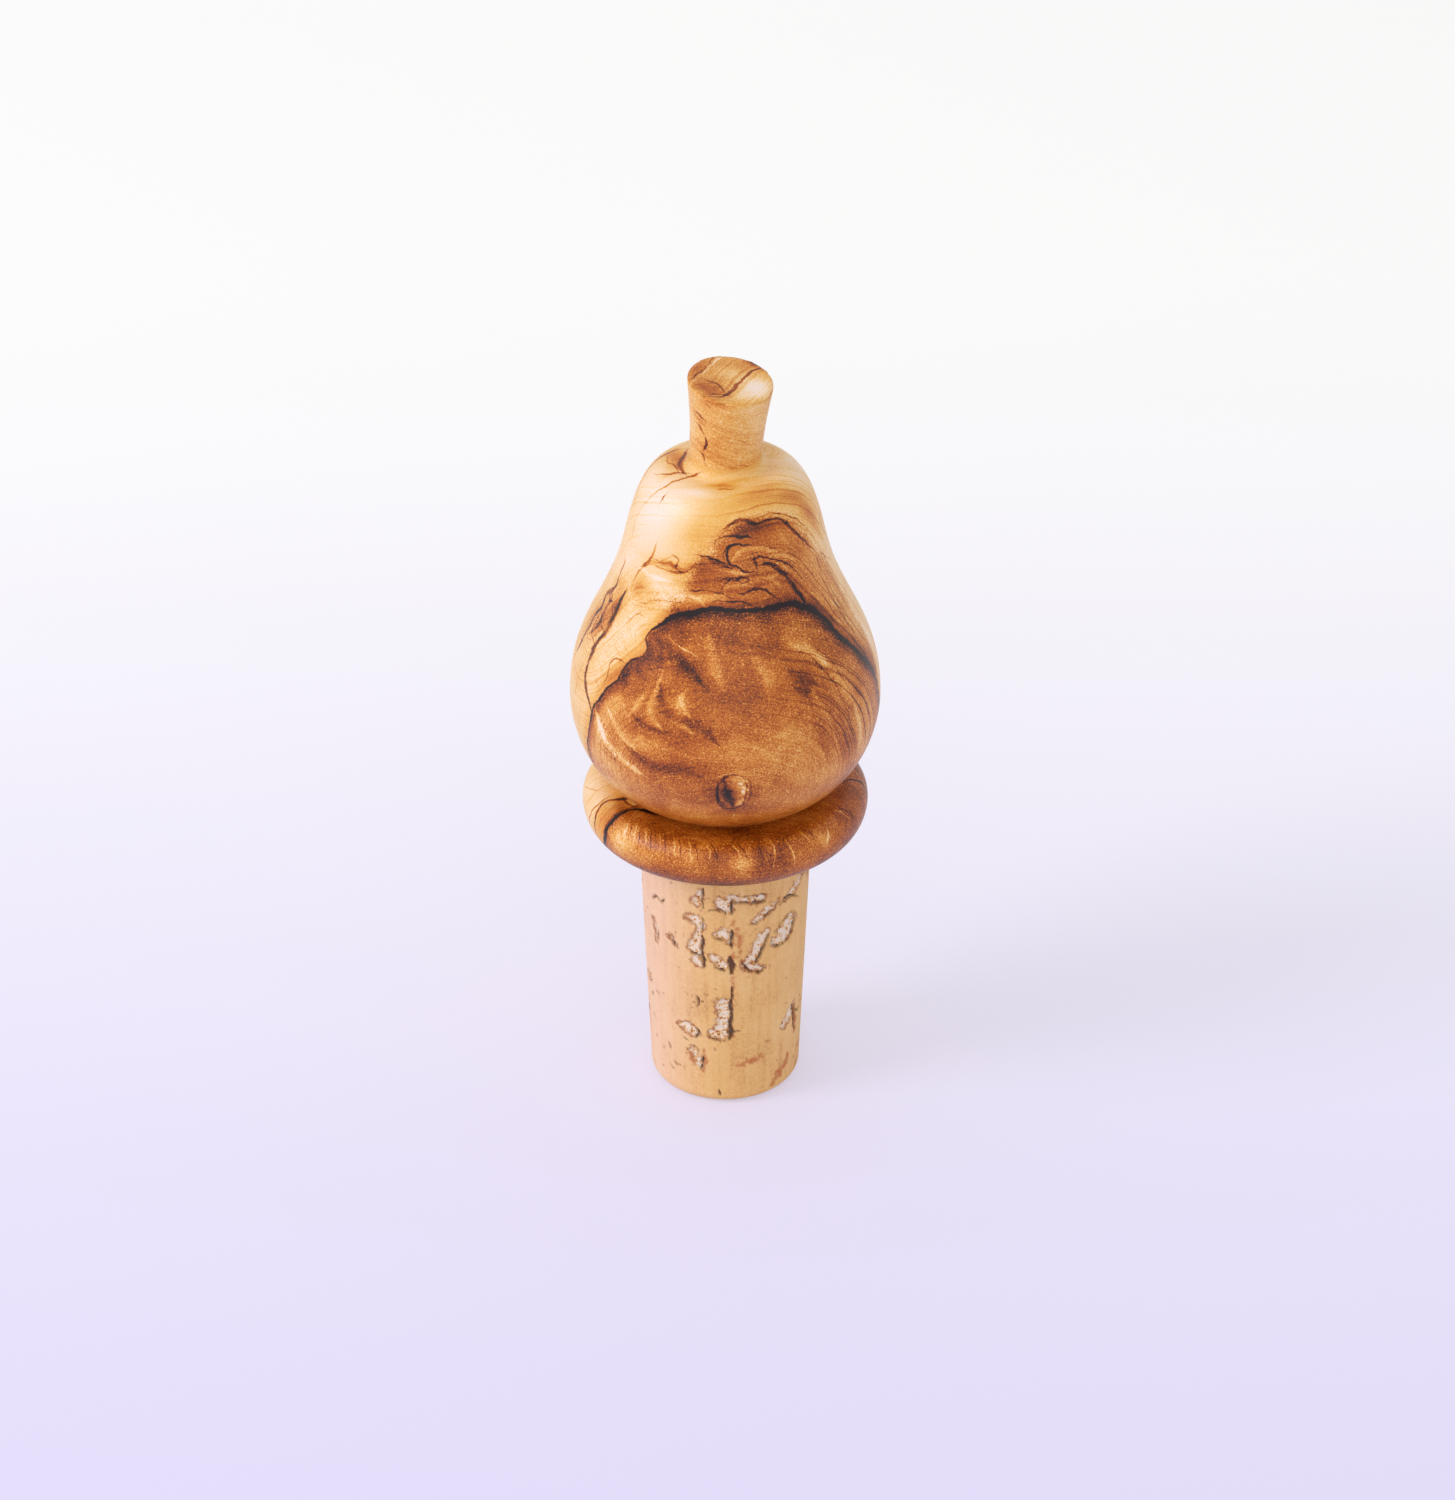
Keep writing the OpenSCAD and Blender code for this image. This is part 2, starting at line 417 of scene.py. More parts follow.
def soften_rim(points, centre, normal, radius):
    """Rounds the edge of the cut: crisp at the back and the left, softer at the front right."""
    points = points.copy()
    depth = (np.array(centre) - points) @ np.array(normal)
    from_axis = np.hypot(points[:, 0], points[:, 1])
    azimuth = azimuth_of(points)
    on_cut = np.abs(depth) < 0.01 * MM
    softest, spread = 40, 60
    reach = radius * (0.7 + 1.3 * np.exp(-(around(azimuth, softest) - softest) ** 2 / spread ** 2))
    rim = np.interp(around(azimuth, 0), *rim_radius(azimuth[on_cut], from_axis[on_cut]))
    inside = np.clip(1 - (rim - from_axis) / reach, 0, 1) ** 2 * on_cut
    below = np.clip(1 - depth / reach, 0, 1) ** 2 * ~on_cut * (from_axis > 0.5 * rim)
    points -= (ROUNDING * reach * inside)[:, None] * np.array(normal)
    squeeze = 1 - ROUNDING * reach * np.maximum(below, inside) / np.maximum(from_axis, reach)
    points[:, :2] *= np.where(squeeze > 0.8, squeeze, 1)[:, None]
    return points


def rim_radius(azimuths, radii, step=4):
    """The cut end's radius by azimuth, from the points that lie on it."""
    steps = np.arange(-180, 181, step)
    return steps, np.array([radii[np.abs(around(azimuths, a) - a) < step].max() for a in steps])


# ---------------------------------------------------------------- the wood's figure, drawn from listed lines and patches

# The black line between heartwood and sapwood: azimuth in degrees, height in millimetres.
HEART_LINE = ((112, 41.9), (107, 43), (100, 45.5), (92, 49), (84, 52.5), (79.4, 55.7), (78.3, 57.4), (70, 62),
              (60.5, 65.4), (57.2, 67.4), (50.5, 69.4), (45, 70.2), (38.3, 71.2), (29.4, 71.5), (20, 71.55),
              (10.5, 71.65), (0.5, 71.8), (-3.9, 71.9), (-9.4, 71.8), (-17.2, 71.2), (-24.5, 70.7),
              (-30, 69.9), (-34.5, 68.9), (-38, 68.1), (-39.5, 67.4), (-38.5, 66.7), (-37.5, 66.1),
              (-38.5, 65.4), (-41.5, 64.7), (-44, 64.3), (-45.5, 63.7), (-47, 62.7), (-47.5, 61.8),
              (-50, 60.9), (-52.5, 60.1), (-53.5, 59.4), (-55.5, 58.3), (-57.5, 57.3), (-58.5, 56.1),
              (-60, 54), (-62, 52), (-64, 50), (-67, 47), (-68, 44.5), (-64, 43), (-54, 41.9))
HEART_WIDTHS = (0.15, 0.25, 0.3, 0.36, 0.5, 0.6, 0.62, 0.54, 0.48, 0.5, 0.56, 0.5, 0.26, 0.34, 0.3,
                0.28, 0.24)         # half widths in millimetres, evenly spaced along it

# The brown swirl above it: its outline, and the spine that its rings follow.
SWIRL = ((-15, 78), (-9.4, 78), (-7.2, 79.4), (-1.7, 80.2), (2.8, 80.9), (8.3, 81.7), (16, 82), (27, 82),
         (36, 81.7), (42.8, 81), (49.4, 80.4), (55, 79), (60.5, 77.4), (65, 75.7), (69.4, 74.7), (75, 73),
         (80, 70), (83, 64), (82, 57), (76, 58), (60, 65), (50, 69), (38, 70.8), (20, 71.2), (0, 71.4),
         (-17, 70.8), (-30, 70.6), (-30, 72.3), (-24, 72.8), (-22, 74), (-20, 75.5), (-17, 77))
SPINE = ((-75, 64), (-66, 68), (-56, 71.3), (-40, 73), (-20, 74), (0, 74.6), (20, 75), (34, 74.8), (42, 73),
         (50, 70.5), (57, 67.8), (68, 63), (79, 56), (92, 49))

# The heartwood's rings close round the knot low in front.
HEART_SPINE = ((-16, 50.5), (-8, 51.5), (2, 51.5), (16, 50))

# Half widths in millimetres, from end to end, that several lines share.
HAIR = (0.03, 0.08, 0.06)
THIN = (0.05, 0.1, 0.05)
LONG_THIN = (0.04, 0.1, 0.1, 0.04)
LONG_SLIM = (0.04, 0.12, 0.1, 0.04)
LONG_FINE = (0.05, 0.12, 0.12, 0.05)

# Lines drawn on each surface: darkness (below zero they are pale), half widths in millimetres from
# end to end, and the places they pass.
PEAR_LINES = (
    # the swirl: golden bands, then the brown strokes and eddies over them
    (-0.15, (0.2, 0.42, 0.45, 0.42, 0.5, 0.4, 0.2), (4.5, 77.5), (7, 78.2), (12.5, 78.7), (19, 78.6),
     (25.5, 78.3), (31.5, 77.6), (37.5, 76.9), (43.5, 76.1)),
    (-0.16, (0.15, 0.3, 0.15), (1.5, 76.3), (6.5, 76.1), (12.5, 75.8)),
    (-0.12, (0.15, 0.4, 0.4, 0.15), (17, 75.3), (22.5, 75.2), (28.5, 74.5), (33, 73.5)),
    (-0.1, (0.15, 0.35, 0.35, 0.15), (0, 73.6), (0.5, 74.2), (4, 74.5), (9.5, 74.6), (15, 74.4)),
    (-0.08, (0.15, 0.45, 0.4, 0.15), (34, 80.8), (36, 80.1), (37.5, 79.1), (42, 78)),
    (-0.14, (0.15, 0.5, 0.4, 0.15), (-18.5, 73.1), (-15, 72.8), (-12, 72.4), (-11, 72.1)),
    (0.39, (0.08, 0.13, 0.16, 0.16, 0.12, 0.06), (28, 81.9), (34.5, 81.9), (40.5, 81.6), (46.5, 80.9),
     (52.5, 80.2), (57.5, 79.2), (62.5, 77.9), (65, 76.8)),
    (0.34, (0.12, 0.2, 0.3, 0.26, 0.18, 0.22, 0.26, 0.22, 0.14), (-1, 81), (5.5, 81.6), (12, 81.9),
     (17, 81.6), (21, 81.3), (27.5, 81.4), (35, 81.4), (39.5, 81.1), (44, 80.3), (46, 79.6), (50.5, 78.5),
     (55.5, 77.3), (60.5, 76)),
    (0.34, (0.1, 0.14, 0.14, 0.24, 0.22, 0.08), (-6.5, 79.8), (-3.5, 80), (0.5, 80.2), (5, 80.2),
     (9.5, 80.1), (13.5, 80.1), (17, 79.9)),
    (0.21, (0.1, 0.16, 0.12, 0.14, 0.1), (-6.5, 78.9), (-6.5, 79.8), (-1.5, 80.5), (2.5, 81.2),
     (6.5, 81.7)),
    (0.44, (0.06, 0.12, 0.2, 0.24, 0.2, 0.16, 0.14, 0.1, 0.05), (18, 79), (13, 79.2), (8, 79.4),
     (3.5, 79.1), (1.5, 78.5), (1, 77.7), (3, 77.1), (6.5, 76.8), (10.5, 76.3), (15, 76), (20.5, 75.8)),
    (0.36, (0.06, 0.16, 0.14, 0.06), (4, 79.4), (0.5, 78.8), (-1, 78.1), (0, 77.4)),
    (0.44, (0.06, 0.16, 0.14, 0.16, 0.08), (-15.5, 77.9), (-10.5, 77.9), (-5.5, 77.6), (-0.5, 77.2),
     (3, 77)),
    (0.44, (0.06, 0.14, 0.06), (-2.5, 76.7), (1, 76.8), (4.5, 76.6)),
    (0.26, (0.04, 0.1, 0.04), (12.5, 78), (17, 78.2), (22, 78.1), (27, 77.7)),
    (0.29, LONG_FINE, (24.5, 78.7), (28, 78.4), (32, 77.9), (36, 77.4)),
    (0.39, (0.06, 0.16, 0.18, 0.14, 0.14, 0.16, 0.12, 0.06), (15, 77.4), (17.5, 77.6), (21, 77.6),
     (26, 77.3), (30.5, 76.9), (35, 76.4), (39, 75.8), (42.5, 75), (45.5, 74.1), (47.5, 73.1)),
    (0.39, (0.2, 0.34, 0.3, 0.36, 0.42, 0.4, 0.34, 0.28), (23, 76.7), (27, 76.5), (30.5, 76),
     (33.5, 75.3), (36.5, 74.5), (39, 73.7), (41, 73), (43, 72.1), (44.5, 71.4), (45, 70.7)),
    (0.29, (0.2, 0.42, 0.2), (18, 77.4), (18.5, 77), (18.5, 76.5)),
    (0.47, (0.05, 0.09, 0.1, 0.14, 0.1, 0.08, 0.1, 0.12, 0.06), (-6.5, 75.4), (-1.5, 75.5), (4.5, 75.6),
     (8.5, 75.5), (12, 75.4), (15, 75), (11.5, 74.9), (7, 75.1), (2.5, 75.2), (0, 74.9), (-2, 74.5),
     (-2.5, 74)),
    (0.26, (0.04, 0.08, 0.08, 0.04), (-20, 74.1), (-14, 74.2), (-8.5, 74.4), (-3, 74.6)),
    (0.42, (0.06, 0.1, 0.08, 0.1, 0.08, 0.04), (-19.5, 73.6), (-14, 73.9), (-8.5, 73.9), (-4, 73.7),
     (-0.5, 73.6), (2.5, 73.3), (7, 73.1)),
    (0.34, (0.06, 0.18, 0.16, 0.26, 0.26, 0.24, 0.1), (5.5, 73.8), (9, 73.6), (12.5, 73.8), (16, 74),
     (19.5, 73.9), (23, 73.7), (25, 73.2), (28, 72.6)),
    (0.47, (0.06, 0.13, 0.1, 0.12, 0.06), (0, 72.8), (2.5, 72.9), (6, 72.8), (9, 72.7), (12, 72.4),
     (14.5, 72.1)),
    (0.39, (0.05, 0.1, 0.06), (-8, 72.2), (-7, 72.6), (-4, 72.9), (-1, 72.8)),
    (0.29, (0.08, 0.22, 0.2, 0.08), (63, 75), (65, 73.9), (65, 73), (66, 72.2)),
    (0.31, (0.06, 0.14, 0.14, 0.1, 0.06), (65, 76.9), (66.5, 75.9), (69, 74.9), (75, 73.4), (85, 71.9)),
    (0.31, (0.06, 0.14, 0.14, 0.12, 0.08), (91.5, 78.3), (83, 77.9), (82, 76.7), (87, 74.8), (96, 72.1),
     (99.5, 70.2)),
    # right flank, down beside the heart line
    (0.3, (0.05, 0.15, 0.15, 0.1), (60, 75.2), (64.5, 71.8), (68.5, 68), (73, 63.6), (77, 60.6)),
    (0.26, (0.05, 0.12, 0.12, 0.1), (65, 75.2), (69, 70.8), (73, 67), (77, 63.5), (81, 59)),
    (0.28, (0.05, 0.16, 0.14, 0.1), (58, 72.2), (61, 70), (64.8, 67.4), (69.6, 64.8), (74.5, 61.6)),
    (0.22, LONG_FINE, (72, 75), (76, 70.5), (79.5, 65.5), (84, 61), (89, 56)),
    # left flank: the thick dark line and the streak behind it, then the net between them
    (0.6, (0.14, 0.46, 0.6, 0.36, 0.48, 0.34, 0.46, 0.32, 0.26, 0.24), (-63, 70.4), (-64.5, 69),
     (-64.5, 67.6), (-65, 66.2), (-66.5, 64.6), (-69, 63), (-69, 61.5), (-68.5, 60.1), (-67, 58.9),
     (-63, 57.7), (-59.5, 56.6)),
    (0.5, (0.05, 0.14, 0.2, 0.26, 0.5, 0.4, 0.36, 0.34, 0.34, 0.26), (-76, 73.6), (-73, 73.1),
     (-74, 71.8), (-74.5, 70.9), (-74, 70.1), (-76, 69.1), (-81, 67.9), (-80.5, 67.1), (-79.5, 66.5),
     (-81.5, 65.5), (-82, 64.5), (-82, 63.3), (-83, 62.2), (-83, 61.2), (-84.5, 60)),
    (0.3, (0.1, 0.3, 0.34, 0.3, 0.34, 0.3, 0.1), (-78.5, 68.7), (-73.5, 68.4), (-74, 67.3), (-74.5, 66.1),
     (-73.5, 65.2), (-75.5, 64.2), (-79.5, 63)),
    (0.36, (0.05, 0.14, 0.12, 0.16, 0.16, 0.08), (-79, 66.6), (-77.5, 65.8), (-78.5, 64.7), (-77.5, 63.8),
     (-74, 63.3), (-69.5, 63.1)),
    (-0.34, LONG_FINE, (-80, 65.9), (-81, 64.9), (-81.5, 64.1), (-82.5, 63.5)),
    (-0.5, (0.06, 0.16, 0.06), (-79, 68.7), (-76.5, 68.6), (-74, 68.5)),
    (0.3, (0.06, 0.2, 0.12, 0.22, 0.1), (-72.5, 65.8), (-71, 65.2), (-67, 65.1), (-68, 64.2),
     (-70.5, 63.3)),
    (0.34, (0.06, 0.2, 0.16, 0.12), (-78, 68.7), (-75, 67.9), (-71, 68.2), (-67, 67.4)),
    (0.34, (0.06, 0.18, 0.14, 0.1), (-78.5, 66.4), (-75, 65.8), (-74.5, 64.4), (-70.5, 63.6)),
    (0.3, (0.05, 0.12, 0.1, 0.06), (-80.5, 64), (-74, 65.2), (-70, 66.2), (-67, 66.9)),
    (0.3, (0.05, 0.12, 0.1, 0.06), (-79.5, 62.4), (-74, 63.2), (-71, 64.6), (-67.5, 65.2)),
    (0.3, (0.04, 0.1, 0.1, 0.05), (-71.5, 62), (-74, 59.5), (-74.5, 57), (-76, 54), (-75.5, 50)),
    (0.28, (0.04, 0.1, 0.1, 0.05), (-66, 57.4), (-68, 55.5), (-70, 53), (-73, 50), (-75, 46)),
    # left flank: the edge of the brown cloud, and the curls beside the heart line
    (0.24, (0.05, 0.16, 0.2, 0.22, 0.2, 0.08), (-45.5, 75.6), (-41.5, 75.3), (-37, 75.3), (-32.5, 75.4),
     (-27.5, 75.4), (-22, 76)),
    (0.2, (0.1, 0.3, 0.34, 0.2), (-43, 75.8), (-38.5, 75.9), (-33.5, 76.2), (-29.5, 76.2)),
    (0.26, (0.06, 0.2, 0.08), (-33, 77.3), (-30, 77.1), (-28.5, 76.8)),
    (0.28, (0.04, 0.12, 0.12, 0.1, 0.04), (-52.5, 70.5), (-49, 70.5), (-44.5, 70.8), (-42, 71.2),
     (-38, 71.6), (-31, 71.9), (-25, 72.1), (-21.5, 72.4)),
    (0.34, (0.04, 0.09, 0.08, 0.04), (-46, 71.9), (-42.5, 71.9), (-39.5, 71.9), (-38, 72.3), (-41, 72.4),
     (-44.5, 72.1)),
    (0.26, (0.06, 0.14, 0.12, 0.06), (-21, 73.8), (-18, 73.7), (-14, 73.8), (-11, 73.9)),
    (0.12, (0.1, 0.3, 0.1), (-56.5, 71.1), (-53.5, 71.9), (-47.5, 72.5)),
    (-0.1, (0.2, 0.5, 0.45, 0.2), (-56, 74.1), (-46.5, 74), (-39, 74), (-32, 74.2)),
    (0.3, (0.05, 0.18, 0.14, 0.06), (-54.5, 74.3), (-51, 74.7), (-49, 75.1), (-47.5, 76)),
    (0.17, (0.2, 0.45, 0.5, 0.6, 0.5, 0.2), (-52.5, 74.7), (-44, 75.7), (-34.5, 76.2), (-27, 75.8),
     (-21, 76.4), (-14.5, 76.9)),
    (0.3, (0.08, 0.14, 0.1, 0.14, 0.1, 0.06), (-32, 77.3), (-28.5, 76.9), (-29.5, 76), (-25.5, 75.5),
     (-22, 76), (-17.5, 77)),
    (0.26, (0.06, 0.12, 0.1, 0.12, 0.08), (-48.5, 75.7), (-44.5, 76.1), (-40, 76.1), (-36, 76.7),
     (-31.5, 77.3)),
    (0.26, (0.08, 0.1, 0.12, 0.06), (-51.5, 74.9), (-43.5, 75.3), (-36, 75.7), (-30.5, 75.4)),
    (0.22, (0.2, 0.45, 0.4, 0.2), (-14, 77.8), (-8, 77.6), (-2.5, 77.1), (2, 76.8)),
    (0.25, THIN, (-21, 73.6), (-21.5, 72.9), (-20, 72.2)),
    (0.2, THIN, (-51, 67), (-52.5, 67.6), (-51.5, 68.3), (-47, 69)),
    (0.2, THIN, (-47.5, 67.2), (-47.5, 67.7), (-44.5, 68.2), (-38.5, 68.7)),
    (0.2, THIN, (-62, 70.2), (-55.5, 69.9), (-50, 69.8), (-46.5, 69.2)),
    (0.26, (0.12, 0.2, 0.16, 0.12, 0.14, 0.2, 0.22, 0.2, 0.14), (-3, 50.8), (-1.5, 52.4), (2.5, 53.1),
     (6.5, 52.6), (8, 50.7), (6.5, 48.4), (1.5, 47.7), (-2.5, 48.7), (-3, 50.8)),
    (0.34, (0.05, 0.14, 0.16, 0.26, 0.1), (-58.5, 71.2), (-57.5, 73), (-52, 74.8), (-47.5, 76),
     (-46, 77.7)),
    (0.3, (0.05, 0.1, 0.09, 0.05), (-51, 66.6), (-53, 67.7), (-52, 68.5), (-48, 69.2), (-43, 69.3)),
    (0.3, (0.05, 0.1, 0.09, 0.05), (-44.2, 66.2), (-46.2, 67.2), (-44, 68.2), (-39.5, 68.9)),
    (0.2, THIN, (-56, 69.4), (-50, 70), (-44, 70.2), (-37, 70.6)),
    (0.26, HAIR, (-59.5, 69), (-52.5, 67.8), (-46, 66)),
    (0.26, HAIR, (-61.5, 67.4), (-55.5, 66.4), (-47.5, 65)),
    (0.24, HAIR, (-63, 65.6), (-57, 65), (-49, 63.9)),
    (0.24, HAIR, (-64.5, 64.2), (-59, 63.5), (-52, 62.8)),
    (0.24, HAIR, (-65.5, 62.7), (-60.5, 61.9), (-55, 61.2)),
    (0.24, HAIR, (-65.5, 61), (-61, 60.2), (-56.5, 59.6)),
    (0.4, (0.05, 0.16, 0.16, 0.12, 0.06), (-46.8, 63.8), (-50, 63.9), (-53, 63.5), (-54.8, 62.5),
     (-54, 61.4), (-55.5, 59.9)),
    # crown, left of the stalk
    (0.42, (0.22, 0.26, 0.2, 0.18, 0.13, 0.1, 0.08, 0.06, 0.04), (-46, 84.4), (-55.5, 83.9),
     (-58.5, 83.3), (-62.5, 82.6), (-66.5, 81.6), (-70, 80.4), (-72.3, 78.9), (-72.3, 77.2),
     (-69.5, 75.8), (-68.5, 74)),
    (0.36, (0.04, 0.12, 0.04), (-73.5, 78.4), (-71.8, 77.2), (-71.5, 76.2)),
)
CROWN_LINES = (
    (0.38, (0.26, 0.22, 0.14, 0.06), (-4.7, -2.4), (-5.4, -2.2), (-6.4, -2.3), (-7.6, -1.6),
     (-8.4, -0.6)),
    (0.36, (0.1, 0.24, 0.2, 0.1), (-5.1, 3.4), (-6.6, 3), (-8.2, 2.2), (-9.6, 0.8), (-10.6, -1)),
    (0.3, (0.1, 0.2, 0.16, 0.1), (-5.3, -2.2), (-5.8, -0.6), (-6.8, 0.6), (-6.6, 2)),
    (0.42, (0.3, 0.5, 0.46, 0.3), (-4.6, 2.4), (-5, 0.6), (-5.3, -0.8), (-4.9, -2)),
    (0.6, (0.16, 0.16), (-7.2, -5.4), (-7, -5.3)),
    (0.26, (0.05, 0.22, 0.2, 0.05), (-1.1, -5.9), (-0.3, -6.1), (0.6, -6.1), (1.2, -5.6)),
)
HEARTWOOD_LINES = (
    # the knot
    (0.16, (0.06, 0.12, 0.18, 0.2, 0.18, 0.14, 0.08), (2.5, 53), (-0.5, 52.7), (-2.5, 51.9), (-3.1, 50.8),
     (-2.4, 49.4), (-0.2, 48.2), (3, 47.6)),
    (-0.4, THIN, (-4.6, 52.5), (-2, 53), (1.6, 53.2)),
    (0.24, (0.3, 0.62, 0.7, 0.62, 0.3), (0, 52.1), (0.2, 51.2), (1, 50.2), (2, 49.3), (3, 48.2)),
    (-0.14, (0.05, 0.1, 0.1, 0.05), (-1.6, 51.4), (-1.9, 50.4), (-1, 49.4), (0.4, 48.6)),
    (0.14, (0.1, 0.22, 0.2, 0.1), (6, 53), (8.7, 52.3), (9.4, 51), (9.2, 49.4), (7, 48)),
    # broad strokes in the heartwood
    (-0.164, (0.47, 0.98, 0.98, 0.61), (-8, 68.6), (-6.5, 67), (-4.5, 65.4), (-2, 64)),
    (-0.2132, (0.3, 0.61, 0.68, 0.54, 0.3), (-28, 63.7), (-29, 62), (-30, 60.4), (-29, 59.3),
     (-24.5, 58.2)),
    (-0.1804, (0.33, 0.75, 0.61, 0.3), (-17.5, 62.4), (-18.5, 61.7), (-16.5, 61), (-14, 60.2)),
    (-0.1476, (0.3, 0.47, 0.3), (-19, 59.2), (-16, 58.9), (-12.5, 58.3)),
    (-0.1148, (0.3, 0.47, 0.33), (-38.5, 58.6), (-35.5, 60.3), (-32, 62.1)),
    (0.1804, (0.47, 0.98, 0.89, 0.75, 0.89, 0.75, 0.3), (-26.5, 62.3), (-25, 61.1), (-22, 60),
     (-17.5, 59.8), (-12, 59.4), (-7, 58.5), (-3, 57.3)),
    (0.164, (0.3, 0.61, 0.61, 0.3), (-37, 58.8), (-32.5, 58.2), (-28, 57.8), (-22.5, 57.8)),
    (0.0984, (0.75, 0.98, 0.98, 0.47), (-26, 66.8), (-19.5, 65.7), (-13, 64.6), (-8.5, 63.6)),
    (0.1312, (0.33, 0.89, 0.98, 0.98, 0.89, 0.33), (-39.5, 54.7), (-33.5, 53.6), (-28.5, 52.9),
     (-21, 53.2), (-15.5, 53.7), (-8.5, 52.6)),
    (0.1066, (0.47, 0.98, 0.47), (28.5, 64.4), (34, 63.3), (38.5, 62.3)),
    (0.1066, (0.33, 0.89, 0.33), (30, 62.5), (33.5, 61.4), (35, 60)),
    (-0.1968, (0.47, 0.89, 0.98, 0.75, 0.33), (45, 64.5), (50.5, 62.4), (55, 59.2), (58, 55.8),
     (60, 51.8)),
    (-0.1148, (0.33, 0.61, 0.33), (32, 67), (41.5, 65.6), (47, 63.4)),
    (-0.0984, (0.3, 0.54, 0.54, 0.3), (37, 61.3), (40.5, 58.6), (43.5, 55.7), (45, 52.8)),
    (0.082, (0.33, 0.75, 0.47), (-35.5, 67.9), (-30, 66.6), (-30, 64.8)),
    (-0.0738, (0.33, 0.89, 0.75, 0.33), (17.5, 57.5), (25, 57.6), (33.5, 55.8), (37.5, 53.6)),
    (-0.0738, (0.33, 0.89, 0.75, 0.33), (0, 56.9), (6, 57.3), (12, 56.3), (18.5, 54.7)),
    (-0.082, (0.33, 0.75, 0.33), (14.5, 65.2), (17, 64.1), (17.5, 62.6)),
    # lower left and the heartwood
    (-0.26, (0.2, 0.6, 0.7, 0.7, 0.6, 0.3), (-56.5, 56.9), (-53.5, 55.6), (-50, 54.1), (-44.5, 53),
     (-39, 52.2), (-33, 51.5)),
    (-0.16, (0.2, 0.6, 0.6, 0.3), (-49.5, 58.1), (-45, 56.6), (-39.5, 55.1), (-34, 54.4)),
    (-0.1, (0.1, 0.4, 0.3, 0.1), (-44, 59.8), (-41, 59), (-38, 57.7)),
    (-0.08, (0.2, 0.6, 0.6, 0.2), (-32, 56.6), (-25, 55.9), (-17.5, 55.6), (-11, 55.2)),
    (0.3, (0.04, 0.1, 0.08, 0.1, 0.04), (-53, 57.4), (-50.5, 56.1), (-53, 53.9), (-50, 53), (-45, 52.1)),
    (0.26, (0.03, 0.07, 0.07, 0.03), (-57, 55.1), (-55, 53.6), (-51, 52.1), (-47, 51), (-42.5, 50.2)),
    (0.2, (0.05, 0.14, 0.12, 0.05), (-43.5, 55.3), (-37, 54.5), (-32, 54), (-26.5, 53.6)),
    (0.5, (0.05, 0.09, 0.08, 0.05), (-47, 52.5), (-45, 53.1), (-43.5, 52.8), (-45, 51.9), (-47, 51.8)),
    (0.1, (0.2, 0.75, 0.98, 0.8, 0.3), (-34.5, 67.4), (-27, 67), (-20, 66.1), (-14.5, 65), (-10, 63.9)),
    (0.08, (0.2, 0.7, 0.6, 0.2), (-43, 64), (-44, 62.2), (-43.5, 60.7), (-42, 60.1)),
    (0.2, LONG_SLIM, (-52, 56.3), (-53, 54.8), (-51, 53.6), (-50, 52.6)),
    (0.18, LONG_THIN, (-57, 56.6), (-53.5, 56.9), (-50, 55), (-48.5, 53)),
    (0.16, LONG_THIN, (-58, 52), (-53, 49.6), (-47, 47.6), (-41, 45.8)),
    (0.16, LONG_THIN, (-61, 49.5), (-56, 47.3), (-50, 45.2)),
    (-0.42, (0.04, 0.1, 0.12, 0.06), (-32, 68.3), (-24.5, 67.7), (-15.5, 66.8), (-12, 66.6)),
    (-0.16, (0.04, 0.14, 0.12, 0.04), (-32.5, 50.8), (-27.5, 50.6), (-21, 52.2), (-16, 52.2),
     (-11, 51.4)),
    (-0.14, LONG_SLIM, (-37.5, 51.4), (-35, 50.2), (-31, 49.7), (-26, 49.4)),
    (-0.12, LONG_SLIM, (-30, 47.6), (-24, 48.4), (-18, 48.2), (-12, 47.4)),
    (0.14, LONG_THIN, (7, 59.8), (12, 59.2), (15, 58.6), (20, 58.8)),
    (0.18, (0.06, 0.16, 0.16, 0.16, 0.06), (30, 66.6), (39.5, 65.4), (46.5, 62.2), (50.5, 59),
     (53.5, 55.2), (54, 51.9)),
    (0.18, (0.06, 0.14, 0.16, 0.06), (40, 67), (48, 64.6), (52.5, 61.8), (57, 58), (60.5, 54.1)),
    (0.14, (0.06, 0.12, 0.12, 0.06), (35.5, 60.7), (41, 57.7), (44.2, 54.4), (45.5, 51.6)),
    (0.16, (0.06, 0.12, 0.12, 0.06), (40.5, 62.5), (46, 59.5), (49, 55.7), (51, 52.2)),
    (0.4, (0.12, 0.12), (-45.4, 52.4), (-44.8, 51.9)),
)
